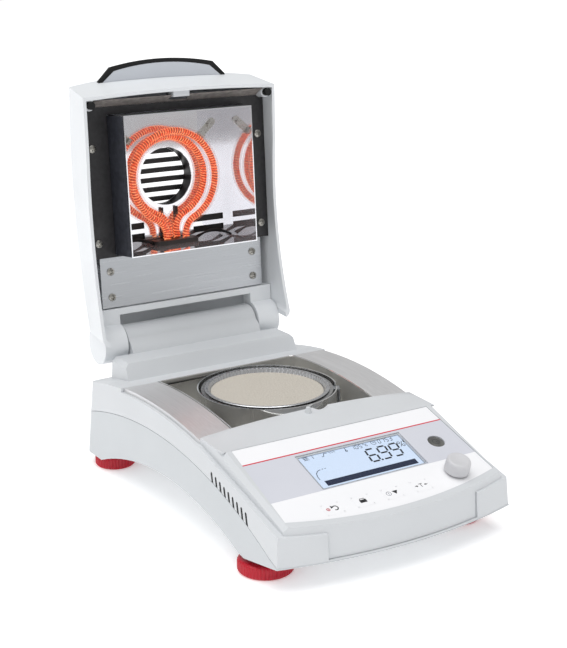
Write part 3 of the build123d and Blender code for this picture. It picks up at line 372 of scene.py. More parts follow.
def chin(points):
    """Frame points in metres with the housing's lower edge raised towards the front.

    Between SKIRT_Z and CHIN_TOP_Z, z gains the lift at its y times its share of the way down from
    CHIN_TOP_Z. Above CHIN_TOP_Z nothing moves, so the two housings keep meeting at their seam.
    """
    millimetres = points * 1000.0
    lift = np.interp(millimetres[:, 1], CHIN_Y, CHIN_LIFT)
    share = np.clip((CHIN_TOP_Z - millimetres[:, 2]) / (CHIN_TOP_Z - SKIRT_Z), 0.0, 1.0)
    millimetres[:, 2] += lift * share
    return millimetres / 1000.0


def softened(node, material, width=0.0006, segments=2, reshape=None):
    """A merged copy of the node with rounded edges, which replaces it on the same body."""
    mesh = bpy.data.meshes.new("soft_" + node)
    work = bmesh.new()
    work.from_mesh(nodes[node].data)
    bmesh.ops.remove_doubles(work, verts=work.verts, dist=1e-6)
    bmesh.ops.dissolve_limit(work, angle_limit=radians(0.6), verts=work.verts, edges=work.edges)
    work.to_mesh(mesh)
    work.free()
    if reshape:
        corners = np.empty(len(mesh.vertices) * 3)
        mesh.vertices.foreach_get("co", corners)
        mesh.vertices.foreach_set("co", reshape(corners.reshape(-1, 3)).ravel())
    finish_mesh(mesh, material)
    piece = add_object("soft_" + node, mesh)
    bevel = piece.modifiers.new("rounding", "BEVEL")
    bevel.width = width
    bevel.segments = segments
    bevel.limit_method = "ANGLE"
    bevel.angle_limit = CREASE_ANGLE
    bevel.harden_normals = True
    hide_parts(node)
    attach(piece, body_of_node[node])
    return piece


def painted(node, material):
    """The node as it is, with a finish."""
    if not nodes[node].material_slots:
        nodes[node].data.materials.append(material)
    for slot in nodes[node].material_slots:
        slot.material = material


softened("top_housing", base_plastic, 0.0012, 3, chin)
softened("bottom_housing", shade_plastic, 0.0005, 2, chin)
softened("control_bezel", base_plastic, 0.0009, 3)
softened("lid_shell", white_plastic, 0.0010, 3)
softened("lid_rear_cover", white_plastic, 0.0008, 3)
softened("handle_plate", handle_plastic, 0.0004)
softened("handle_grip", black_rubber, 0.0007, 3)
softened("band_left", band_steel, 0.0003)
softened("band_right", band_steel, 0.0003)
softened("chamber_well", well_steel_and_reflection, 0.0002)
softened("steel_plate", plate_steel, 0.0002)
softened("lid_frame", frame_paint, 0.0002)
softened("front_apron", apron_paint_and_reflection, 0.0002)
softened("bumpers", black_rubber, 0.0006, 3)
softened("catch_tab", base_plastic, 0.0006, 3)
softened("lifter_grip", plate_steel, 0.0002)
softened("power_inlet", black_plastic, 0.0004)
softened("serial_port", screw_steel, 0.0003)

# %% [markdown]
# ## Surfaces from two parameters
#
# The remaining pieces are worked out as grids: a point for every pair of numbers, one running along
# the shape and one running round it. Knurls and flutes are then one more term in the radius, which
# would be tedious to cut by hand.


# %% Grid surfaces
def surface(name, points, material, body, stands_for=(), closed=(False, True)):
    """A mesh over rows by columns of frame points, with a UV map from 0 to 1 along each way.

    closed joins the last row or column to the first. Points that coincide, as at a pole, are merged.
    """
    rows, columns = points.shape[:2]
    index = np.arange(rows * columns).reshape(rows, columns)
    if closed[0]:
        index = np.vstack((index, index[:1]))
    if closed[1]:
        index = np.hstack((index, index[:, :1]))
    corners = (index[:-1, :-1], index[:-1, 1:], index[1:, 1:], index[1:, :-1])
    faces = np.stack(corners, axis=-1).reshape(-1, 4)
    steps = np.array([(0, 0), (0, 1), (1, 1), (1, 0)])
    cells = np.stack(np.meshgrid(*(np.arange(n - 1) for n in index.shape), indexing="ij"), axis=-1)
    counts = np.array([max(n - 1, 1) for n in index.shape])
    spread = (cells[:, :, None, :] + steps) / counts
    mesh = bpy.data.meshes.new(name)
    mesh.from_pydata(points.reshape(-1, 3), [], faces)
    mesh.uv_layers.new(name="UVMap").data.foreach_set("uv", spread.astype(np.float32).ravel())
    return add_piece(name, mesh, material, body, stands_for, 2e-7)


def slab(outer, inner):
    """Grid that runs over outer, back under inner and closes at both ends, for surface()."""
    loop = np.concatenate((outer, inner[:, ::-1]), axis=1)
    near, far = loop[:1].mean(axis=1, keepdims=True), loop[-1:].mean(axis=1, keepdims=True)
    width = loop.shape[1]
    return np.concatenate((np.repeat(near, width, axis=1), loop, np.repeat(far, width, axis=1)))


def add_piece(name, mesh, material, body, stands_for=(), merge=None):
    """Turns a mesh's faces outwards, finishes it and puts it in the scene on its body.

    Points less than merge apart become one.
    """
    work = bmesh.new()
    work.from_mesh(mesh)
    if merge:
        bmesh.ops.remove_doubles(work, verts=work.verts, dist=merge)
    bmesh.ops.recalc_face_normals(work, faces=work.faces)
    work.to_mesh(mesh)
    work.free()
    finish_mesh(mesh, material)
    piece = add_object(name, mesh)
    if stands_for:
        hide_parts(*stands_for)
    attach(piece, body)
    return piece


def walk(chain):
    """Distance walked to each point of a chain: the running sum of the lengths of its steps."""
    steps = np.linalg.norm(np.diff(chain, axis=0), axis=1)
    return np.concatenate(([0.0], np.cumsum(steps)))


def along_chain(chain, walked, where):
    """Points at the distances where along a chain, by straight interpolation."""
    return np.column_stack([np.interp(where, walked, column) for column in chain.T])


def full_turn(steps):
    """Angles of equal steps round a circle, without the one that closes it."""
    return np.linspace(0.0, 2.0 * pi, steps, endpoint=False)


X_AXIS, Y_AXIS, Z_AXIS = np.eye(3)


def turned(profile, origin, steps, axes=(X_AXIS, Y_AXIS, Z_AXIS), ripple=None, waves=1):
    """Drawing points of a profile of (radius, height) carried round an axis in equal steps.

    x = r cos t, y = r sin t, z = height. ripple gives each profile point its share of a wave that
    adds ripple * cos(waves * t) to the radius.
    """
    radius, height = np.array(profile, dtype=float).T
    t = full_turn(steps)
    reach = radius[:, None] * np.ones(steps)
    if ripple is not None:
        reach = reach + np.array(ripple, dtype=float)[:, None] * np.cos(waves * t)
    first, second, along = axes
    swept = reach[..., None] * (np.cos(t)[:, None] * first + np.sin(t)[:, None] * second)
    return np.array(origin, dtype=float) + swept + height[:, None, None] * along


PANEL_AXES = (X_AXIS, -PANEL_DOWN, PANEL_NORMAL)
print("panel axes:", np.round(PANEL_AXES, 3).tolist())

# %% [markdown]
# ## Levelling feet and knob
#
# The feet are wheels with a coarse knurl to turn them by. The knob has a fine one. Both knurls are a
# cosine wave round the rim that fades out at the chamfers.

# %% Feet
FRONT_PLACE, REAR_PLACE = (78.3, -114.0), (78.0, 107.0)
KNURLS, REAR_KNURLS, STEPS_PER_KNURL = 46, 40, 10
FRONT_FOOT = [(0, 0), (17.4, 0), (18.3, 0.9), (18.4, 1.6), (18.4, 7.2), (18.1, 8.1), (17.2, 8.7)]
STUD = [(4.0, 8.7), (4.0, 25.4), (3.4, 26.0), (0, 26.0)]
FRONT_RIPPLE = [0, 0, 0.1, 0.38, 0.38, 0.1, 0, 0, 0, 0, 0]
for side, name in ((-1, "foot_left"), (1, "foot_right")):
    centre = (FRONT_PLACE[0] * side, FRONT_PLACE[1], 0.0)
    points = turned(FRONT_FOOT + STUD, centre, KNURLS * STEPS_PER_KNURL, ripple=FRONT_RIPPLE, waves=KNURLS)
    surface("knurled_" + name, placed(points), crimson_plastic, name, (name,))

REAR_FOOT = [(0, 0), (14.2, 0), (15.0, 0.9), (15.1, 1.6), (15.1, 7.4), (14.8, 8.4), (13.9, 9.2), (0, 9.2)]
REAR_RIPPLE = [0, 0, 0.1, 0.36, 0.36, 0.1, 0, 0]
for side, word in ((-1, "left"), (1, "right")):
    centre = (REAR_PLACE[0] * side, REAR_PLACE[1], 0.0)
    steps = REAR_KNURLS * STEPS_PER_KNURL
    points = turned(REAR_FOOT, centre, steps, ripple=REAR_RIPPLE, waves=REAR_KNURLS)
    surface("knurled_rear_" + word, placed(points), crimson_plastic, "base", ("rear_feet",))
print("knurls per front foot:", KNURLS)

# %% Knob
KNOB_PLACE, KNOB_RIBS, STEPS_PER_RIB = (56.0, 68.5), 64, 8
KNOB_PROFILE = [
    (0, 7.0), (3.0, 7.0), (3.0, 1.0), (8.3, 1.0), (8.62, 1.3), (8.6, 1.6), (8.45, 8.1),
    (8.25, 8.9), (7.75, 9.6), (6.9, 9.95), (6.2, 10.0), (5.9, 9.88), (0, 9.8),
]
KNOB_RIPPLE = [0, 0, 0, 0, 0, 0.07, 0.07, 0.02, 0, 0, 0, 0, 0]
knob_steps = KNOB_RIBS * STEPS_PER_RIB
points = turned(KNOB_PROFILE, on_panel(*KNOB_PLACE), knob_steps, PANEL_AXES, KNOB_RIPPLE, KNOB_RIBS)
surface("ribbed_knob", placed(points), knob_plastic, "knob", ("knob",))
print("ribs on the knob:", KNOB_RIBS)

# %% [markdown]
# ## Sample pan and fibre pad
#
# The pan is pressed from thin aluminium. Pressing a flat disc up into a wall leaves too much metal
# round the rim, which is gathered into flutes. The pad that holds a liquid sample is glass fibre.

# %% Pan
FLUTES, STEPS_PER_FLUTE = 84, 8
PAN_PROFILE = [
    (0, 71.5), (30.0, 71.5), (42.3, 71.5), (42.75, 71.8), (43.1, 72.8), (43.5, 74.2), (43.85, 75.1),
    (45.5, 75.2), (46.0, 75.6), (45.6, 76.0), (43.9, 76.0), (43.2, 75.7), (42.85, 74.6), (42.4, 73.3),
    (42.1, 72.5), (41.7, 72.3), (30.0, 72.3), (0, 72.3),
]
PAN_RIPPLE = [0, 0, 0, 0.1, 0.25, 0.25, 0.15, 0, 0, 0, 0, 0.15, 0.3, 0.3, 0.1, 0, 0, 0]
PAN_CENTRE = (0.0, PAN_Y, 0.0)
points = turned(PAN_PROFILE, PAN_CENTRE, FLUTES * STEPS_PER_FLUTE, ripple=PAN_RIPPLE, waves=FLUTES)
surface("fluted_pan", placed(points), foil, "sample_pan", ("sample_pan",))
print("flutes:", FLUTES)

# %% Pad
fibre = Recipe("glass_fibre", Roughness=0.95)
fibre.vary(rgb(209, 204, 194), rgb(180, 174, 163), 900.0, 0.3, 0.7)
fibre.grain(1500.0, 0.6, 0.0004, detail=4.0)
PAD_TOP, PAD_FLAT_RADIUS, PAD_FLAT_RINGS, PAD_STEPS = 73.25, 41.1, 24, 180
flat_radii = np.linspace(0.0, PAD_FLAT_RADIUS, PAD_FLAT_RINGS)
pad_radii = np.concatenate((flat_radii, [41.4, 41.5, 41.45, 41.3, 0.0]))
pad_edge_heights = [PAD_TOP - 0.1, 73.0, 72.5, 72.32, 72.32]
pad_heights = np.concatenate((np.full(PAD_FLAT_RINGS, PAD_TOP), pad_edge_heights))
points = turned(np.column_stack((pad_radii, pad_heights)), PAN_CENTRE, PAD_STEPS)
across, along = points[..., 0], points[..., 1]
waviness = 0.05 * np.sin(across / 5.3 + 1.0) * np.cos(along / 6.1) + 0.03 * np.sin((across + along) / 2.7)
points[:PAD_FLAT_RINGS, :, 2] += waviness[:PAD_FLAT_RINGS]
surface("fibre_disc", placed(points), fibre.material, "sample_pan", ("fibre_pad",))
print("pad stands", round(PAD_TOP, 2), "mm over the bench")

# %% [markdown]
# ## The ring lamp
#
# A halogen lamp is a quartz tube with a coil of tungsten inside. Here the tube goes twice round the
# sight hole in two stacked keyholes, the wider one nearer to the sample. The coil is a helix along the
# same path, wound on a glowing core. The glass is clear, so it shows as an edge beside the pattern.

# %% Path of one loop
SOCKET_Z, SOCKET_SHARE, RISE_LENGTH = 99.5, 0.6, 34.0
LAMP_LOOPS = ((31.5, 3.3, 104.0), (36.5, 8.6, 95.0))
NECK_BEND = 14.0
LEG_END = 48.9
BEND_STEPS, RING_STEPS = 60, 400


def lamp_path(radius, leg_x, loop_z, spacing):
    """Closed-lid points up a leg, round the ring and down the other leg, evenly spaced.

    The ring's centre is on the pan's axis. An arc of NECK_BEND leads from the ring into a leg that
    runs straight at leg_x. The centres of the two circles are radius + NECK_BEND apart. The ring lies
    at loop_z, and over RISE_LENGTH of either leg the path comes nearer to the socket's height.
    """
    bend_x = leg_x + NECK_BEND
    bend_y = ((radius + NECK_BEND) ** 2 - bend_x ** 2) ** 0.5
    touch = atan2(bend_y, bend_x)
    turn_angles = np.linspace(pi, pi + touch, BEND_STEPS)
    bend = np.column_stack((np.cos(turn_angles), np.sin(turn_angles))) * NECK_BEND + (bend_x, bend_y)
    leg = np.vstack(([(leg_x, LEG_END)], bend[bend[:, 1] < LEG_END]))
    angles = np.linspace(touch, -pi - touch, RING_STEPS)[1:-1]
    ring = radius * np.column_stack((np.cos(angles), np.sin(angles)))
    path = np.vstack((leg, ring, leg[::-1] * (-1.0, 1.0)))
    walked = walk(path)
    where = np.linspace(0.0, walked[-1], int(walked[-1] / spacing) + 1)
    flat = along_chain(path, walked, where)
    share = np.interp(np.minimum(where, walked[-1] - where), (0.0, RISE_LENGTH), (SOCKET_SHARE, 1.0))
    height = SOCKET_Z + (loop_z - SOCKET_Z) * share
    return np.column_stack((flat[:, 0], flat[:, 1] + PAN_Y, height)), where


def directions(path):
    """Unit steps along a path: the difference of each point's neighbours, made one long."""
    ahead = np.gradient(path, axis=0)
    return ahead / np.linalg.norm(ahead, axis=1)[:, None]


def around(path, offsets_side, offsets_up):
    """Points beside a nearly flat path: path + side * sideways + up * z, with rows of offsets."""
    ahead = directions(path)
    sideways = np.column_stack((ahead[:, 1], -ahead[:, 0], np.zeros(len(path))))
    beside = path[:, None, :] + offsets_side[..., None] * sideways[:, None, :]
    return beside + offsets_up[..., None] * Z_AXIS


def pipe(path, radii, sides=16):
    """A round pipe along a nearly flat path, closed at both ends: side r cos t and up r sin t."""
    round_pipe = full_turn(sides)
    reach = np.array(radii, dtype=float) * np.ones(len(path))
    reach[[0, -1]] = 0.0
    reach = reach[:, None]
    return around(path, reach * np.cos(round_pipe), reach * np.sin(round_pipe))


print("outer loop is", round(float(lamp_path(*LAMP_LOOPS[1], 1.0)[1][-1])), "mm of tube")

# %% Glass and glow
tube_glass = Recipe("tube_glass", Roughness=0.04, Alpha=0.14, IOR=1.46)
tube_glass.vary(rgb(255, 196, 170), rgb(240, 160, 132), 160.0)
COLD_METAL, COLD_SHARE = (0.02, 0.01, 0.01, 1.0), 0.65


def glowing(name, dark, light, strength, scale):
    """Hot metal: a drift between two colours that it also gives off, over a nearly black metal."""
    recipe = Recipe(name, Roughness=0.6, Emission_Strength=strength)
    heat = recipe.ramp(recipe.noise(scale, 3.0), ((0.36, dark), (0.62, light)))
    recipe.plug(recipe.mix(COLD_SHARE, heat, COLD_METAL), "Base Color")
    return recipe.plug(heat, "Emission Color").material


core_glow = glowing("core_glow", rgb(146, 30, 8), rgb(216, 62, 18), 0.8, 300.0)
coil_glow = glowing("coil_glow", rgb(236, 74, 26), rgb(255, 166, 112), 0.95, 420.0)
print("glowing:", core_glow.name, coil_glow.name)

# %% Tube, core and coil
TUBE_RADIUS, NECK_RADIUS, NECK_LENGTH, TUBE_SIDES = 4.2, 3.1, 16.0, 24
CORE_RADIUS, COIL_RADIUS, WIRE_RADIUS, COIL_PITCH = 2.3, 2.5, 0.42, 2.1
TUBE_SPACING, STEPS_PER_TURN, WIRE_SIDES = 2.0, 10, 5


def lamp_piece(name, points, material):
    """A piece of the lamp, worked out with the lid closed."""
    return surface(name, opened(points), material, "lid", ("halogen_lamp",))


def coil_round(path, walked):
    """A helix of thin wire round a path, closed at both ends.

    The wire's middle circles the path once every COIL_PITCH. Its own round section adds
    WIRE_RADIUS * cos outwards and WIRE_RADIUS * sin ahead.
    """
    phase = 2.0 * pi * walked / COIL_PITCH
    round_wire = full_turn(WIRE_SIDES)
    swell = COIL_RADIUS + WIRE_RADIUS * np.cos(round_wire)
    coil = around(path, np.cos(phase)[:, None] * swell, np.sin(phase)[:, None] * swell)
    coil += WIRE_RADIUS * np.sin(round_wire)[None, :, None] * directions(path)[:, None, :]
    coil[0] = coil[0].mean(axis=0)
    coil[-1] = coil[-1].mean(axis=0)
    return coil


for number, loop in enumerate(LAMP_LOOPS):
    path, walked = lamp_path(*loop, TUBE_SPACING)
    to_end = np.minimum(walked, walked[-1] - walked)
    tube_radii = np.interp(to_end, (0.0, NECK_LENGTH), (NECK_RADIUS, TUBE_RADIUS))
    lamp_piece(f"lamp_tube_{number}", pipe(path, tube_radii, TUBE_SIDES), tube_glass.material)
    lamp_piece(f"lamp_core_{number}", pipe(path, CORE_RADIUS), core_glow)
    path, walked = lamp_path(*loop, COIL_PITCH / STEPS_PER_TURN)
    lamp_piece(f"lamp_coil_{number}", coil_round(path, walked), coil_glow)
    print("turns in coil", number, "are", round(float(walked[-1]) / COIL_PITCH))

# %% [markdown]
# ## Leads of the lamp
#
# Two black wires on either side carry the current to the socket. A wire hangs a little between its
# ends, and half a sine wave is near enough to that sag.

# %% Leads of the lamp
LEAD_Z, LEAD_DROP, LEAD_RADIUS, LEAD_SIDES, LEAD_POINTS = 103.0, 3.0, 0.8, 12, 60
LEAD_START_X, LEAD_REACH, LEAD_BEHIND_PAN, LEAD_STEP = 18.4, 34.0, 51.0, 0.8
LEAD_SAGS = (3.6, 6.0)
lead_t = np.linspace(0.0, 1.0, LEAD_POINTS)
for side, word in ((-1, "left"), (1, "right")):
    for number, sag in enumerate(LEAD_SAGS):
        x = LEAD_START_X + LEAD_REACH * lead_t
        y = PAN_Y + LEAD_BEHIND_PAN - sag * np.sin(pi * lead_t) + LEAD_STEP * number
        lead = np.column_stack((side * x, y, np.full(LEAD_POINTS, LEAD_Z - LEAD_DROP * number)))
        points = opened(pipe(lead, LEAD_RADIUS, LEAD_SIDES))
        surface(f"lamp_lead_{word}_{number}", points, black_rubber, "lid")
print("leads:", 2 * len(LEAD_SAGS))

# %% [markdown]
# ## What makes the openings in the hood look black
#
# Between the slots over the sight hole the cover carries black bars. Each is a strip of a disc, bent
# with the cover. A black plate above the mirror, where the warm air leaves, is painted shade: it keeps
# daylight from showing through the mirror's slots.

# %% Grille bars
SLOT_PITCH, SLOT_WIDTH, SIGHT_RADIUS, SIGHT_EDGE = 7.6, 3.8, 22.4, 0.4
COVER_TOP, COVER_FALL, COVER_HALF_X, COVER_MIDDLE_Y, COVER_SPAN = 122.3, 12.0, 78.6, 12.0, 760.0
BAR_THICKNESS, BAR_POINTS = 0.6, 25


def under_cover(x, y):
    """Height of the cover's underside: COVER_TOP less a parabola across and a flat one along."""
    return COVER_TOP - COVER_FALL * (x / COVER_HALF_X) ** 2 - (y - COVER_MIDDLE_Y) ** 2 / COVER_SPAN


bar_edges = np.array((-0.5, 0.5)) * (SLOT_PITCH - SLOT_WIDTH)
for k in range(-4, 4):
    bar_y = PAN_Y + SLOT_PITCH * (k + 0.5) + bar_edges
    y, x_share = np.meshgrid(bar_y, np.linspace(-1.0, 1.0, BAR_POINTS), indexing="xy")
    off_centre = np.clip(y - PAN_Y, -SIGHT_RADIUS + SIGHT_EDGE, SIGHT_RADIUS - SIGHT_EDGE)
    x = x_share * np.sqrt(SIGHT_RADIUS ** 2 - off_centre ** 2)
    bar_z = under_cover(x, y)
    outer = np.stack((x, off_centre + PAN_Y, bar_z), axis=-1)
    inner = np.stack((x, off_centre + PAN_Y, bar_z - BAR_THICKNESS), axis=-1)
    surface(f"sight_bar_{k + 4}", opened(slab(outer, inner)), black_plastic, "lid")
print("sight hole:", round(2.0 * SIGHT_RADIUS, 1), "mm across")

# %% Painted shade over the mirror
# The plate is painted shade: a black sheet where the inside of the lid lies in shade.
SHIELD_HALF_X, SHIELD_BEHIND_PAN, SHIELD_Z, SHIELD_GRID = 52.0, (33.5, 52.0), (110.3, 110.9), (27, 7)
shield_x = np.linspace(-SHIELD_HALF_X, SHIELD_HALF_X, SHIELD_GRID[0])
shield_y = np.linspace(*(PAN_Y + reach for reach in SHIELD_BEHIND_PAN), SHIELD_GRID[1])
x, y = np.meshgrid(shield_x, shield_y, indexing="ij")
lower, upper = (np.stack((x, y, np.full(x.shape, z)), axis=-1) for z in SHIELD_Z)
surface("shade_plate_over_mirror", opened(slab(lower, upper)), black_plastic, "lid")
print("shield:", round(2.0 * SHIELD_HALF_X), "mm wide")

# %% [markdown]
# ## Screw heads
#
# Each screw in the lid has a domed head with a cross recess. The head is a polar grid whose height is
# the dome minus a step where the point lies inside either arm of the cross.

# %% Screws
HEAD_RADIUS, HEAD_HEIGHT, DOME_SHARE = 3.0, 1.4, 0.8
HEAD_RINGS, HEAD_STEPS = 16, 72
CROSS_HALF_WIDTH, CROSS_REACH, CROSS_DEPTH = 0.42, 1.75, 0.8


def screw_head(x, y, z, twist):
    """Closed-lid points of a head that hangs under height z, with its cross turned by twist."""
    reach = np.concatenate((np.linspace(0.0, HEAD_RADIUS, HEAD_RINGS), [HEAD_RADIUS, 0.0]))
    t = full_turn(HEAD_STEPS)
    px, py = reach[:, None] * np.cos(t), reach[:, None] * np.sin(t)
    dome = HEAD_HEIGHT * np.sqrt(np.clip(1.0 - DOME_SHARE * (reach / HEAD_RADIUS) ** 2, 0.0, 1.0))
    height = np.repeat(dome[:, None], len(t), axis=1)
    a, b = px * cos(twist) + py * sin(twist), -px * sin(twist) + py * cos(twist)
    arm = (np.abs(a) < CROSS_HALF_WIDTH) & (np.abs(b) < CROSS_REACH)
    arm |= (np.abs(b) < CROSS_HALF_WIDTH) & (np.abs(a) < CROSS_REACH)
    height = height - CROSS_DEPTH * arm
    height[-2:] = 0.0
    return np.stack((x + px, y + py, z - height), axis=-1)


FRAME_SCREWS = [(x, y, 86.0) for x in (-72.5, 72.5) for y in (-20.0, 52.0)]
PLATE_SCREWS = [(x, y, 88.0) for x in (-63.5, 63.5) for y in (75.0, 95.0)]
FIRST_TWIST, NEXT_TWIST = 0.5, 1.1
for node, places in (("frame_screws", FRAME_SCREWS), ("plate_screws", PLATE_SCREWS)):
    for number, (x, y, z) in enumerate(places):
        points = opened(screw_head(x, y, z, FIRST_TWIST + NEXT_TWIST * number))
        surface(f"{node}_{number}", points, screw_steel, "lid", (node,))
print("screw heads:", len(FRAME_SCREWS) + len(PLATE_SCREWS))

# %% [markdown]
# ## The printed panel
#
# The panel is one printed film. Its colours depend only on how far down the slope a point lies, so
# the material measures that distance with a dot product and steps between white, red and grey.

# %% Printed film
print_film = Recipe("print_film", Roughness=0.32, IOR=1.48)
DOWN_METRES = tuple(float(v) * 1000.0 for v in PANEL_DOWN)
START = float(np.dot(np.array([0.0, -DRAWING_SHIFT_Y, 0.0]) - PANEL_ORIGIN, PANEL_DOWN))
slope = print_film.node(
    "ShaderNodeVectorMath", ((0, print_film.place), (1, DOWN_METRES)), operation="DOT_PRODUCT"
).outputs["Value"]
down = print_film.math("ADD", slope, START)
RED_LINE = (15.2, 16.3)
GREY_BAND_END = 55.0
past_line = print_film.math("GREATER_THAN", down, RED_LINE[0])
past_red = print_film.math("GREATER_THAN", down, RED_LINE[1])
past_band = print_film.math("GREATER_THAN", down, GREY_BAND_END)
film_white = print_film.mix(print_film.noise(30.0), rgb(250, 250, 252), rgb(245, 246, 249))
film_grey = print_film.mix(print_film.noise(30.0), rgb(216, 218, 226), rgb(210, 212, 221))
colour = print_film.mix(past_line, film_white, rgb(214, 44, 66))
colour = print_film.mix(past_red, colour, film_grey)
colour = print_film.mix(past_band, colour, film_white)
print_film.plug(colour, "Base Color")
print_film.grain(1800.0, 0.05)
for node in ("panel_overlay", "key_power", "key_print", "key_mode", "key_tare"):
    painted(node, print_film.material)
print("the film turns red", RED_LINE[0], "mm down the slope")

# %% Window and backlight
window_clear = Recipe("window_clear", Roughness=0.04, Alpha=0.07, IOR=1.5)
window_clear.vary(rgb(60, 70, 82), rgb(52, 60, 72), 20.0)
painted("display_window", window_clear.material)
backlight = Recipe("backlight", Roughness=0.5, Emission_Strength=0.28)
field = backlight.mix(backlight.noise(25.0), rgb(214, 229, 250), rgb(206, 224, 248))
backlight.plug(field, "Base Color")
backlight.plug(field, "Emission Color")
painted("display_module", backlight.material)
print("backlight:", backlight.material.name)

# %% [markdown]
# ## Marks on the display and the keys
#
# Every mark is a thin raised shape made of straight strokes: a bar between two points with a given
# width. Digits are the usual seven bars, leaning a little. Round marks are strokes round a circle. On
# the real panel one printed film bridges the keys, so a thin ring of the same film hides each gap.


# %% Strokes
def stroke(start, end, width):
    """Four panel corners of a bar from start to end."""
    start, end = np.array(start, dtype=float), np.array(end, dtype=float)
    ahead = (end - start) / np.linalg.norm(end - start)
    side = np.array([-ahead[1], ahead[0]]) * width / 2.0
    return np.array([start + side, end + side, end - side, start - side])


def polyline(points, width):
    """Bars along a chain of points, each lengthened a little so that they meet."""
    points = np.array(points, dtype=float)
    bars = []
    for start, end in zip(points[:-1], points[1:]):
        reach = (end - start) / np.linalg.norm(end - start) * width * 0.25
        bars.append(stroke(start - reach, end + reach, width))
    return bars


def arc(centre, radius, first, last, width, steps=14):
    """Bars along part of a circle, with angles in degrees from the right, towards the operator."""
    t = np.radians(np.linspace(first, last, steps + 1))
    return polyline(np.array(centre) + radius * np.column_stack((np.cos(t), np.sin(t))), width)


LEAN, POINT_BACK = 0.14, 0.14
SEGMENTS = {
    "a": ((0, 0), (1, 0)), "b": ((1, 0), (1, 0.5)), "c": ((1, 0.5), (1, 1)), "d": ((0, 1), (1, 1)),
    "e": ((0, 0.5), (0, 1)), "f": ((0, 0), (0, 0.5)), "g": ((0, 0.5), (1, 0.5)),
}
LIT = {
    "0": "abcdef", "1": "bc", "2": "abged", "3": "abgcd", "4": "fgbc", "5": "afgcd", "6": "afgedc",
    "7": "abc", "8": "abcdefg", "9": "abcdfg",
}


def digits(text, x, v, height, width, pitch, thickness):
    """Seven-bar digits from (x, v), leaning right; a point takes no room of its own."""
    bars = []
    for character in text:
        if character == ".":
            middle, foot = x - pitch * POINT_BACK, v + height
            half = thickness / 2
            bars.append(stroke((middle - half, foot), (middle + half, foot), thickness))
            continue
        for letter in LIT[character]:
            ends = [(x + width * a + LEAN * height * (1 - b), v + height * b) for a, b in SEGMENTS[letter]]
            ends = np.array(ends)
            short = (ends[1] - ends[0]) / np.linalg.norm(ends[1] - ends[0]) * thickness * 0.55
            bars.append(stroke(ends[0] + short, ends[1] - short, thickness))
        x += pitch
    return bars


def marks(name, shapes, material, body, height, thickness=0.04):
    """One mesh of thin prisms on the panel, their tops at height and their feet thickness below."""
    corners, faces = [], []
    for shape in shapes:
        count, base = len(shape), sum(len(c) for c in corners)
        top = on_panel(shape[:, 0], shape[:, 1], height)
        foot = on_panel(shape[:, 0], shape[:, 1], height - thickness)
        corners.append(np.vstack((top, foot)))
        ring = [(k, (k + 1) % count) for k in range(count)]
        faces.append([base + k for k in range(count)])
        faces.append([base + count + k for k in reversed(range(count))])
        faces.extend([base + a, base + count + a, base + count + b, base + b] for a, b in ring)
    mesh = bpy.data.meshes.new(name)
    mesh.from_pydata(placed(np.vstack(corners)), [], faces)
    return add_piece(name, mesh, material, body)


print("digits that can be drawn:", len(LIT))

# %% Display
segment_ink = moulded("segment_ink", rgb(18, 22, 30), 0.5, 0.02)
bar_ink = moulded("bar_ink", rgb(28, 40, 72), 0.5, 0.02)
faint_ink = moulded("faint_ink", rgb(70, 84, 104), 0.5, 0.02)
LCD_HEIGHT = -1.44
big = digits("6.99", 6.8, 27.0, 12.6, 6.8, 9.7, 1.4)
big += arc((36.6, 27.6), 1.0, 0, 360, 0.4, 12) + arc((39.2, 30.8), 1.0, 0, 360, 0.4, 12)
big += [stroke((36.4, 31.8), (39.8, 26.6), 0.45)]
drop_t = full_turn(14)
drop_x = 41.4 + 0.9 * np.sin(drop_t) * np.sin(drop_t / 2.0)
big += [np.column_stack((drop_x, 27.0 - 1.5 * np.cos(drop_t)))]
marks("reading", big, segment_ink, "base", LCD_HEIGHT)
small = digits("105", 0.8, 20.4, 3.6, 1.9, 3.1, 0.5) + digits("0753", 23.0, 20.0, 3.8, 1.9, 3.2, 0.5)
small += arc((19.4, 21.9), 1.9, 0, 360, 0.35, 16) + [stroke((19.4, 21.9), (19.4, 20.6), 0.35)]
small += [stroke((19.4, 21.9), (20.4, 21.9), 0.35), stroke((-4.0, 20.2), (-4.0, 22.8), 0.5)]
small += arc((-4.0, 23.4), 0.7, 0, 360, 0.5, 10) + arc((11.2, 20.9), 0.5, 0, 360, 0.25, 8)
small += arc((13.2, 22.4), 1.0, 60, 300, 0.4, 8)
small += [stroke((x, 20.2), (x, 23.6), 0.4) for x in (-37.0, -35.4, -30.4)]
small += [stroke((-38.2, v), (-33.8, v), 0.35) for v in (20.6, 22.0, 23.4)]
small += polyline([(-24.0, 23.6), (-22.6, 23.6), (-21.2, 21.0), (-18.6, 21.0)], 0.45)
small += [stroke((x, 20.4), (x + 1.0, 22.2), 0.35) for x in (-17.0, -15.2, -13.4)]
small += polyline([(-38.6, 44.0), (-38.4, 40.8), (-37.4, 37.8), (-35.4, 35.8), (-32.8, 35.0)], 0.5)
small += [stroke((x, 34.8), (x + 1.1, 34.8), 0.5) for x in (-31.4, -29.2)]
marks("small_signs", small, faint_ink, "base", LCD_HEIGHT)
marks("bar", [stroke((-36.5, 48.6), (37.5, 48.6), 5.0)], bar_ink, "base", LCD_HEIGHT)
print("bars on the display:", len(big) + len(small))

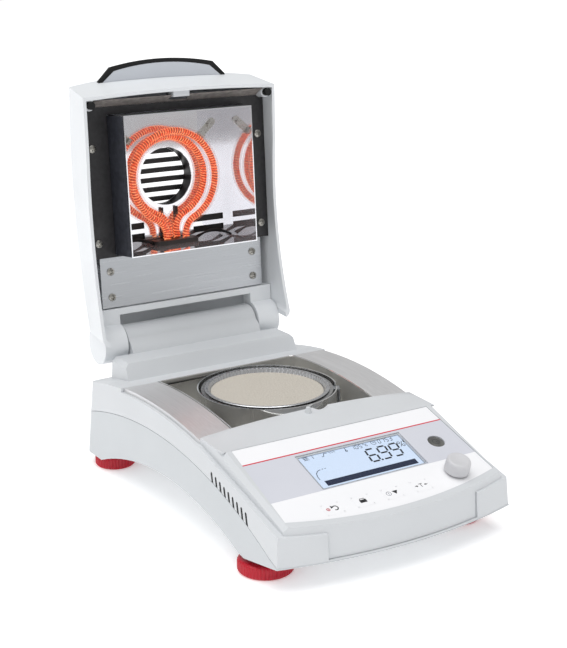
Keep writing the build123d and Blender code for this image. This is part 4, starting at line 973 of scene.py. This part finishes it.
# %% Film over the keys' gaps
KEY_V = 72.5
KEY_X = {"key_power": -47.2, "key_print": -23.6, "key_mode": 0.0, "key_tare": 23.6}
BRIDGE_HALF, BRIDGE_WIDTH, BRIDGE_HEIGHT, BRIDGE_THICKNESS = (6.65, 5.15), 0.75, -0.375, 0.02
BRIDGE_CORNERS = np.array([(-1, -1), (1, -1), (1, 1), (-1, 1), (-1, -1)]) * BRIDGE_HALF
bridges = [bar for x in KEY_X.values() for bar in polyline(BRIDGE_CORNERS + (x, KEY_V), BRIDGE_WIDTH)]
marks("film_bridges", bridges, print_film.material, "base", BRIDGE_HEIGHT, BRIDGE_THICKNESS)
print("bridged keys:", len(KEY_X))

# %% Power and print signs
SIGN_HEIGHT = -0.37
sign_ink = moulded("sign_ink", rgb(30, 31, 34), 0.5, 0.02)
red_ink = moulded("red_ink", rgb(214, 56, 74), 0.5, 0.02)
x = KEY_X["key_power"]
power = arc((x - 3.4, KEY_V), 1.1, 0, 360, 0.5, 16) + arc((x - 3.4, KEY_V), 0.35, 0, 360, 0.3, 8)
marks("power_circle", power, red_ink, "key_power", SIGN_HEIGHT)
back = arc((x + 2.0, KEY_V), 1.9, -150, 120, 0.75, 18)
back += [np.array([(x - 0.7, KEY_V - 2.9), (x - 0.9, KEY_V - 0.2), (x + 1.2, KEY_V - 1.4)])]
marks("return_arrow", back, sign_ink, "key_power", SIGN_HEIGHT)
x = KEY_X["key_print"]
printer = [stroke((x - 2.6, KEY_V + 0.4), (x + 2.6, KEY_V + 0.4), 2.8)]
printer += [stroke((x - 1.7, KEY_V - 2.0), (x + 1.7, KEY_V - 2.0), 0.5)]
printer += [stroke((x + e, KEY_V - 2.1), (x + e, KEY_V - 0.6), 0.4) for e in (-1.7, 1.7)]
marks("printer_sign", printer, sign_ink, "key_print", SIGN_HEIGHT)
print("shapes in the first signs:", len(power) + len(back) + len(printer))

# %% Mode and tare signs
x = KEY_X["key_mode"]
clock = arc((x - 3.0, KEY_V), 1.8, 0, 360, 0.3, 18)
clock += [stroke((x - 3.0, KEY_V + 0.9), (x - 3.0, KEY_V - 0.9), 0.35)]
marks("clock_sign", clock, faint_ink, "key_mode", SIGN_HEIGHT)
wedge = [np.array([(x + 0.2, KEY_V - 1.6), (x + 4.6, KEY_V - 1.6), (x + 2.4, KEY_V + 1.8)])]
marks("wedge_sign", wedge, sign_ink, "key_mode", SIGN_HEIGHT)
x = KEY_X["key_tare"]
tare = [stroke((x, KEY_V - 1.6), (x, KEY_V + 1.7), 0.5)]
tare += [stroke((x - 1.4, KEY_V - 1.5), (x + 1.4, KEY_V - 1.5), 0.5)]
for way in (-1, 1):
    tare += [stroke((x + way * 5.2, KEY_V), (x + way * 3.6, KEY_V), 0.45)]
    tare += [np.array([(x + way * 3.9, KEY_V - 0.9), (x + way * 3.9, KEY_V + 0.9), (x + way * 2.3, KEY_V)])]
marks("tare_sign", tare, sign_ink, "key_tare", SIGN_HEIGHT)
print("shapes in the other signs:", len(clock) + len(wedge) + len(tare))

# %% [markdown]
# ## Level and painted shade in the vents
#
# The level is a glass capsule of liquid with a bubble under a ring, turned from its profile. Each side
# vent is made black with painted shade: a black plate with the slot's outline, set back a little from
# the wall, stands for the shade inside the housing. The wall's own lean tells where it has to be.

# %% Level
LEVEL_PLACE, LEVEL_STEPS = (63.2, 36.0), 96
vial_liquid = Recipe("vial_liquid", Roughness=0.06, IOR=1.5, Coat_Weight=1.0)
vial_liquid.vary(rgb(104, 104, 100), rgb(64, 64, 63), 120.0)
VIAL_PROFILE = [
    (0, -8.0), (5.9, -8.0), (6.1, -7.6), (6.1, -1.5), (5.8, -1.15), (4.0, -0.9), (2.0, -0.8), (0, -0.78),
]
points = turned(VIAL_PROFILE, on_panel(*LEVEL_PLACE), LEVEL_STEPS, PANEL_AXES)
surface("level_capsule", placed(points), vial_liquid.material, "base", ("level_vial",))
marks("level_ring", arc(LEVEL_PLACE, 2.5, 0, 360, 0.3, 32), sign_ink, "base", -0.76, 0.1)
BUBBLE, BUBBLE_OFFSET = [(0, -0.86), (1.5, -0.84), (1.8, -0.8), (1.4, -0.72), (0, -0.66)], (-0.6, 0.5)
bubble_place = np.array(LEVEL_PLACE) + BUBBLE_OFFSET
points = turned(BUBBLE, on_panel(*bubble_place), 40, PANEL_AXES)
surface("level_bubble", placed(points), window_clear.material, "base")
print("bubble at", bubble_place.tolist())

# %% Painted shade in the side vents
VENT_COUNT, VENT_PITCH, VENT_MIDDLE_Y = 9, 5.6, -92.0
VENT_LENGTH, VENT_WIDTH, VENT_LEAN, VENT_DROP = 13.0, 2.4, radians(18.0), 13.0
SHOULDER, DECK_REAR = (-165.0, 35.5), (-47.0, 67.5)
WALL_X, WALL_FOOT_Z, WALL_LEAN = 93.8, 20.0, 3.6 / 57.0
SCREEN_DEPTH, SCREEN_BACK, SCREEN_POINTS = 0.35, 2.4, 25
DECK_SLOPE = (DECK_REAR[1] - SHOULDER[1]) / (DECK_REAR[0] - SHOULDER[0])
s_along = (VENT_LENGTH / 2.0 - 0.01) * np.sin(np.linspace(-pi / 2.0, pi / 2.0, SCREEN_POINTS))
past_straight = np.clip(np.abs(s_along) - (VENT_LENGTH - VENT_WIDTH) / 2.0, 0.0, None)
half_width = np.sqrt((VENT_WIDTH / 2.0) ** 2 - past_straight ** 2)[:, None] * (-1.0, 1.0)


def vent_shade_plate(side, k):
    """Drawing points of shade plate k: a slot's outline, leaning back, between two depths of the wall.

    The slot's ends are half circles, so its half width is the root of a square less the square of the
    distance past the straight part.
    """
    middle_y = VENT_MIDDLE_Y + VENT_PITCH * (k - (VENT_COUNT - 1) / 2.0)
    middle_z = SHOULDER[1] + DECK_SLOPE * (middle_y - SHOULDER[0]) - VENT_DROP
    y = middle_y + s_along[:, None] * sin(VENT_LEAN) + half_width * cos(VENT_LEAN)
    z = middle_z + s_along[:, None] * cos(VENT_LEAN) - half_width * sin(VENT_LEAN)
    wall_x = WALL_X + WALL_LEAN * (WALL_FOOT_Z - z)
    outer = np.stack((side * (wall_x - SCREEN_DEPTH), y, z), axis=-1)
    inner = np.stack((side * (wall_x - SCREEN_BACK), y, z), axis=-1)
    return slab(outer, inner)


# Each plate is painted shade: a black sheet standing in for the shaded inside of the housing.
for side, word in ((-1, "left"), (1, "right")):
    for k in range(VENT_COUNT):
        points = placed(vent_shade_plate(side, k))
        surface(f"vent_shade_plate_{word}_{k}", points, black_rubber, "base")
print("vent screens lie", SCREEN_DEPTH, "mm behind the side walls")

# %% [markdown]
# ## Rolled rim of the well
#
# The drawn steel tray ends in a rolled bead, which catches a bright line all round the chamber. It is
# a round bar along a rounded rectangle whose height follows the arch of the side bands.

# %% Rim
RIM_HALF_X, RIM_Y, RIM_CORNER, RIM_RADIUS = 59.7, (-46.0, 66.3), 4.0, 0.45
RIM_LIFT, RIM_STEPS, RIM_SIDES = 0.05, 360, 10
ARCH_Y, ARCH_TOP_Z, ARCH_RADIUS = 27.0, 76.4, 385.0
quarter = np.linspace(0.0, pi / 2.0, 9)
right, front, rear = RIM_HALF_X - RIM_CORNER, RIM_Y[0] + RIM_CORNER, RIM_Y[1] - RIM_CORNER
corner_centres = ((right, rear), (-right, rear), (-right, front), (right, front))
corners = [
    np.column_stack((np.cos(quarter + k * pi / 2.0), np.sin(quarter + k * pi / 2.0))) * RIM_CORNER + centre
    for k, centre in enumerate(corner_centres)
]
coarse = np.vstack(corners + [corners[0][:1]])
walked = walk(coarse)
rim = along_chain(coarse, walked, np.linspace(0.0, walked[-1], RIM_STEPS + 1)[:-1])
ahead = np.roll(rim, -1, axis=0) - np.roll(rim, 1, axis=0)
ahead /= np.linalg.norm(ahead, axis=1)[:, None]
outward = np.column_stack((ahead[:, 1], -ahead[:, 0]))
t = full_turn(RIM_SIDES)
flat = rim[:, None, :] + RIM_RADIUS * np.cos(t)[None, :, None] * outward[:, None, :]
arch = ARCH_TOP_Z - ARCH_RADIUS + np.sqrt(ARCH_RADIUS ** 2 - (rim[:, 1] - ARCH_Y) ** 2)
height = arch[:, None] + RIM_LIFT + RIM_RADIUS * np.sin(t)[None, :]
points = np.concatenate((flat, height[..., None]), axis=-1)
surface("well_rim", placed(points), ring_chrome, "base", (), (True, True))
print("rim", round(float(walked[-1])), "mm long")

# %% [markdown]
# ## Pieces that keep their CAD shape
#
# Turned, folded and milled pieces are already right as solids: their edges are small or hidden. They
# need only the finish of the real part, so the material goes straight on the CAD node.

# %% Finish the pieces that keep their CAD shape
KEPT = (
    (black_plastic, "key_switches", "encoder_rotor", "sensor_rods"),
    (white_plastic, "level_cup"),
    (board_green, "main_board"),
    (ceramic, "lamp_base"),
    (brass, "knob_shaft"),
    (screw_steel, "encoder", "lamp_clips"),
    (turned_steel, "pan_lifter", "pan_support", "load_cell", "spindle", "hinge_pins"),
    (ring_chrome, "draft_ring"),
    (mirror_sheet_and_reflection, "mirror_hood"),
    (jacket_paint, "jacket_left", "jacket_right"),
    (tube_paint, "sight_tube"),
)
for material, *names in KEPT:
    for node in names:
        painted(node, material)
print("painted:", sum(len(names) for _, *names in KEPT))

# %% [markdown]
# ## Floor
#
# A catalogue picture is taken on a lit white table, where a shadow is only a faint grey. The floor is
# one square with a white finish that gives off a little light of its own, which lifts the shadow.

# %% Floor
floor_recipe = Recipe("floor_paper", Roughness=0.9, Emission_Color=(1.0,) * 4, Emission_Strength=0.3)
floor_recipe.vary(rgb(254, 254, 254), rgb(252, 252, 253), 3.0)
FLOOR_HALF, FLOOR_Z = 6.0, -0.0002
floor_mesh = bpy.data.meshes.new("floor")
floor_corners = [(x, y, FLOOR_Z) for x, y in ((-1, -1), (1, -1), (1, 1), (-1, 1))]
floor_mesh.from_pydata(floor_corners, [], [(0, 1, 2, 3)])
floor_mesh.transform(Matrix.Diagonal((FLOOR_HALF, FLOOR_HALF, 1.0, 1.0)))
floor_mesh.materials.append(floor_recipe.material)
add_object("floor", floor_mesh)
print("floor:", 2.0 * FLOOR_HALF, "m square")
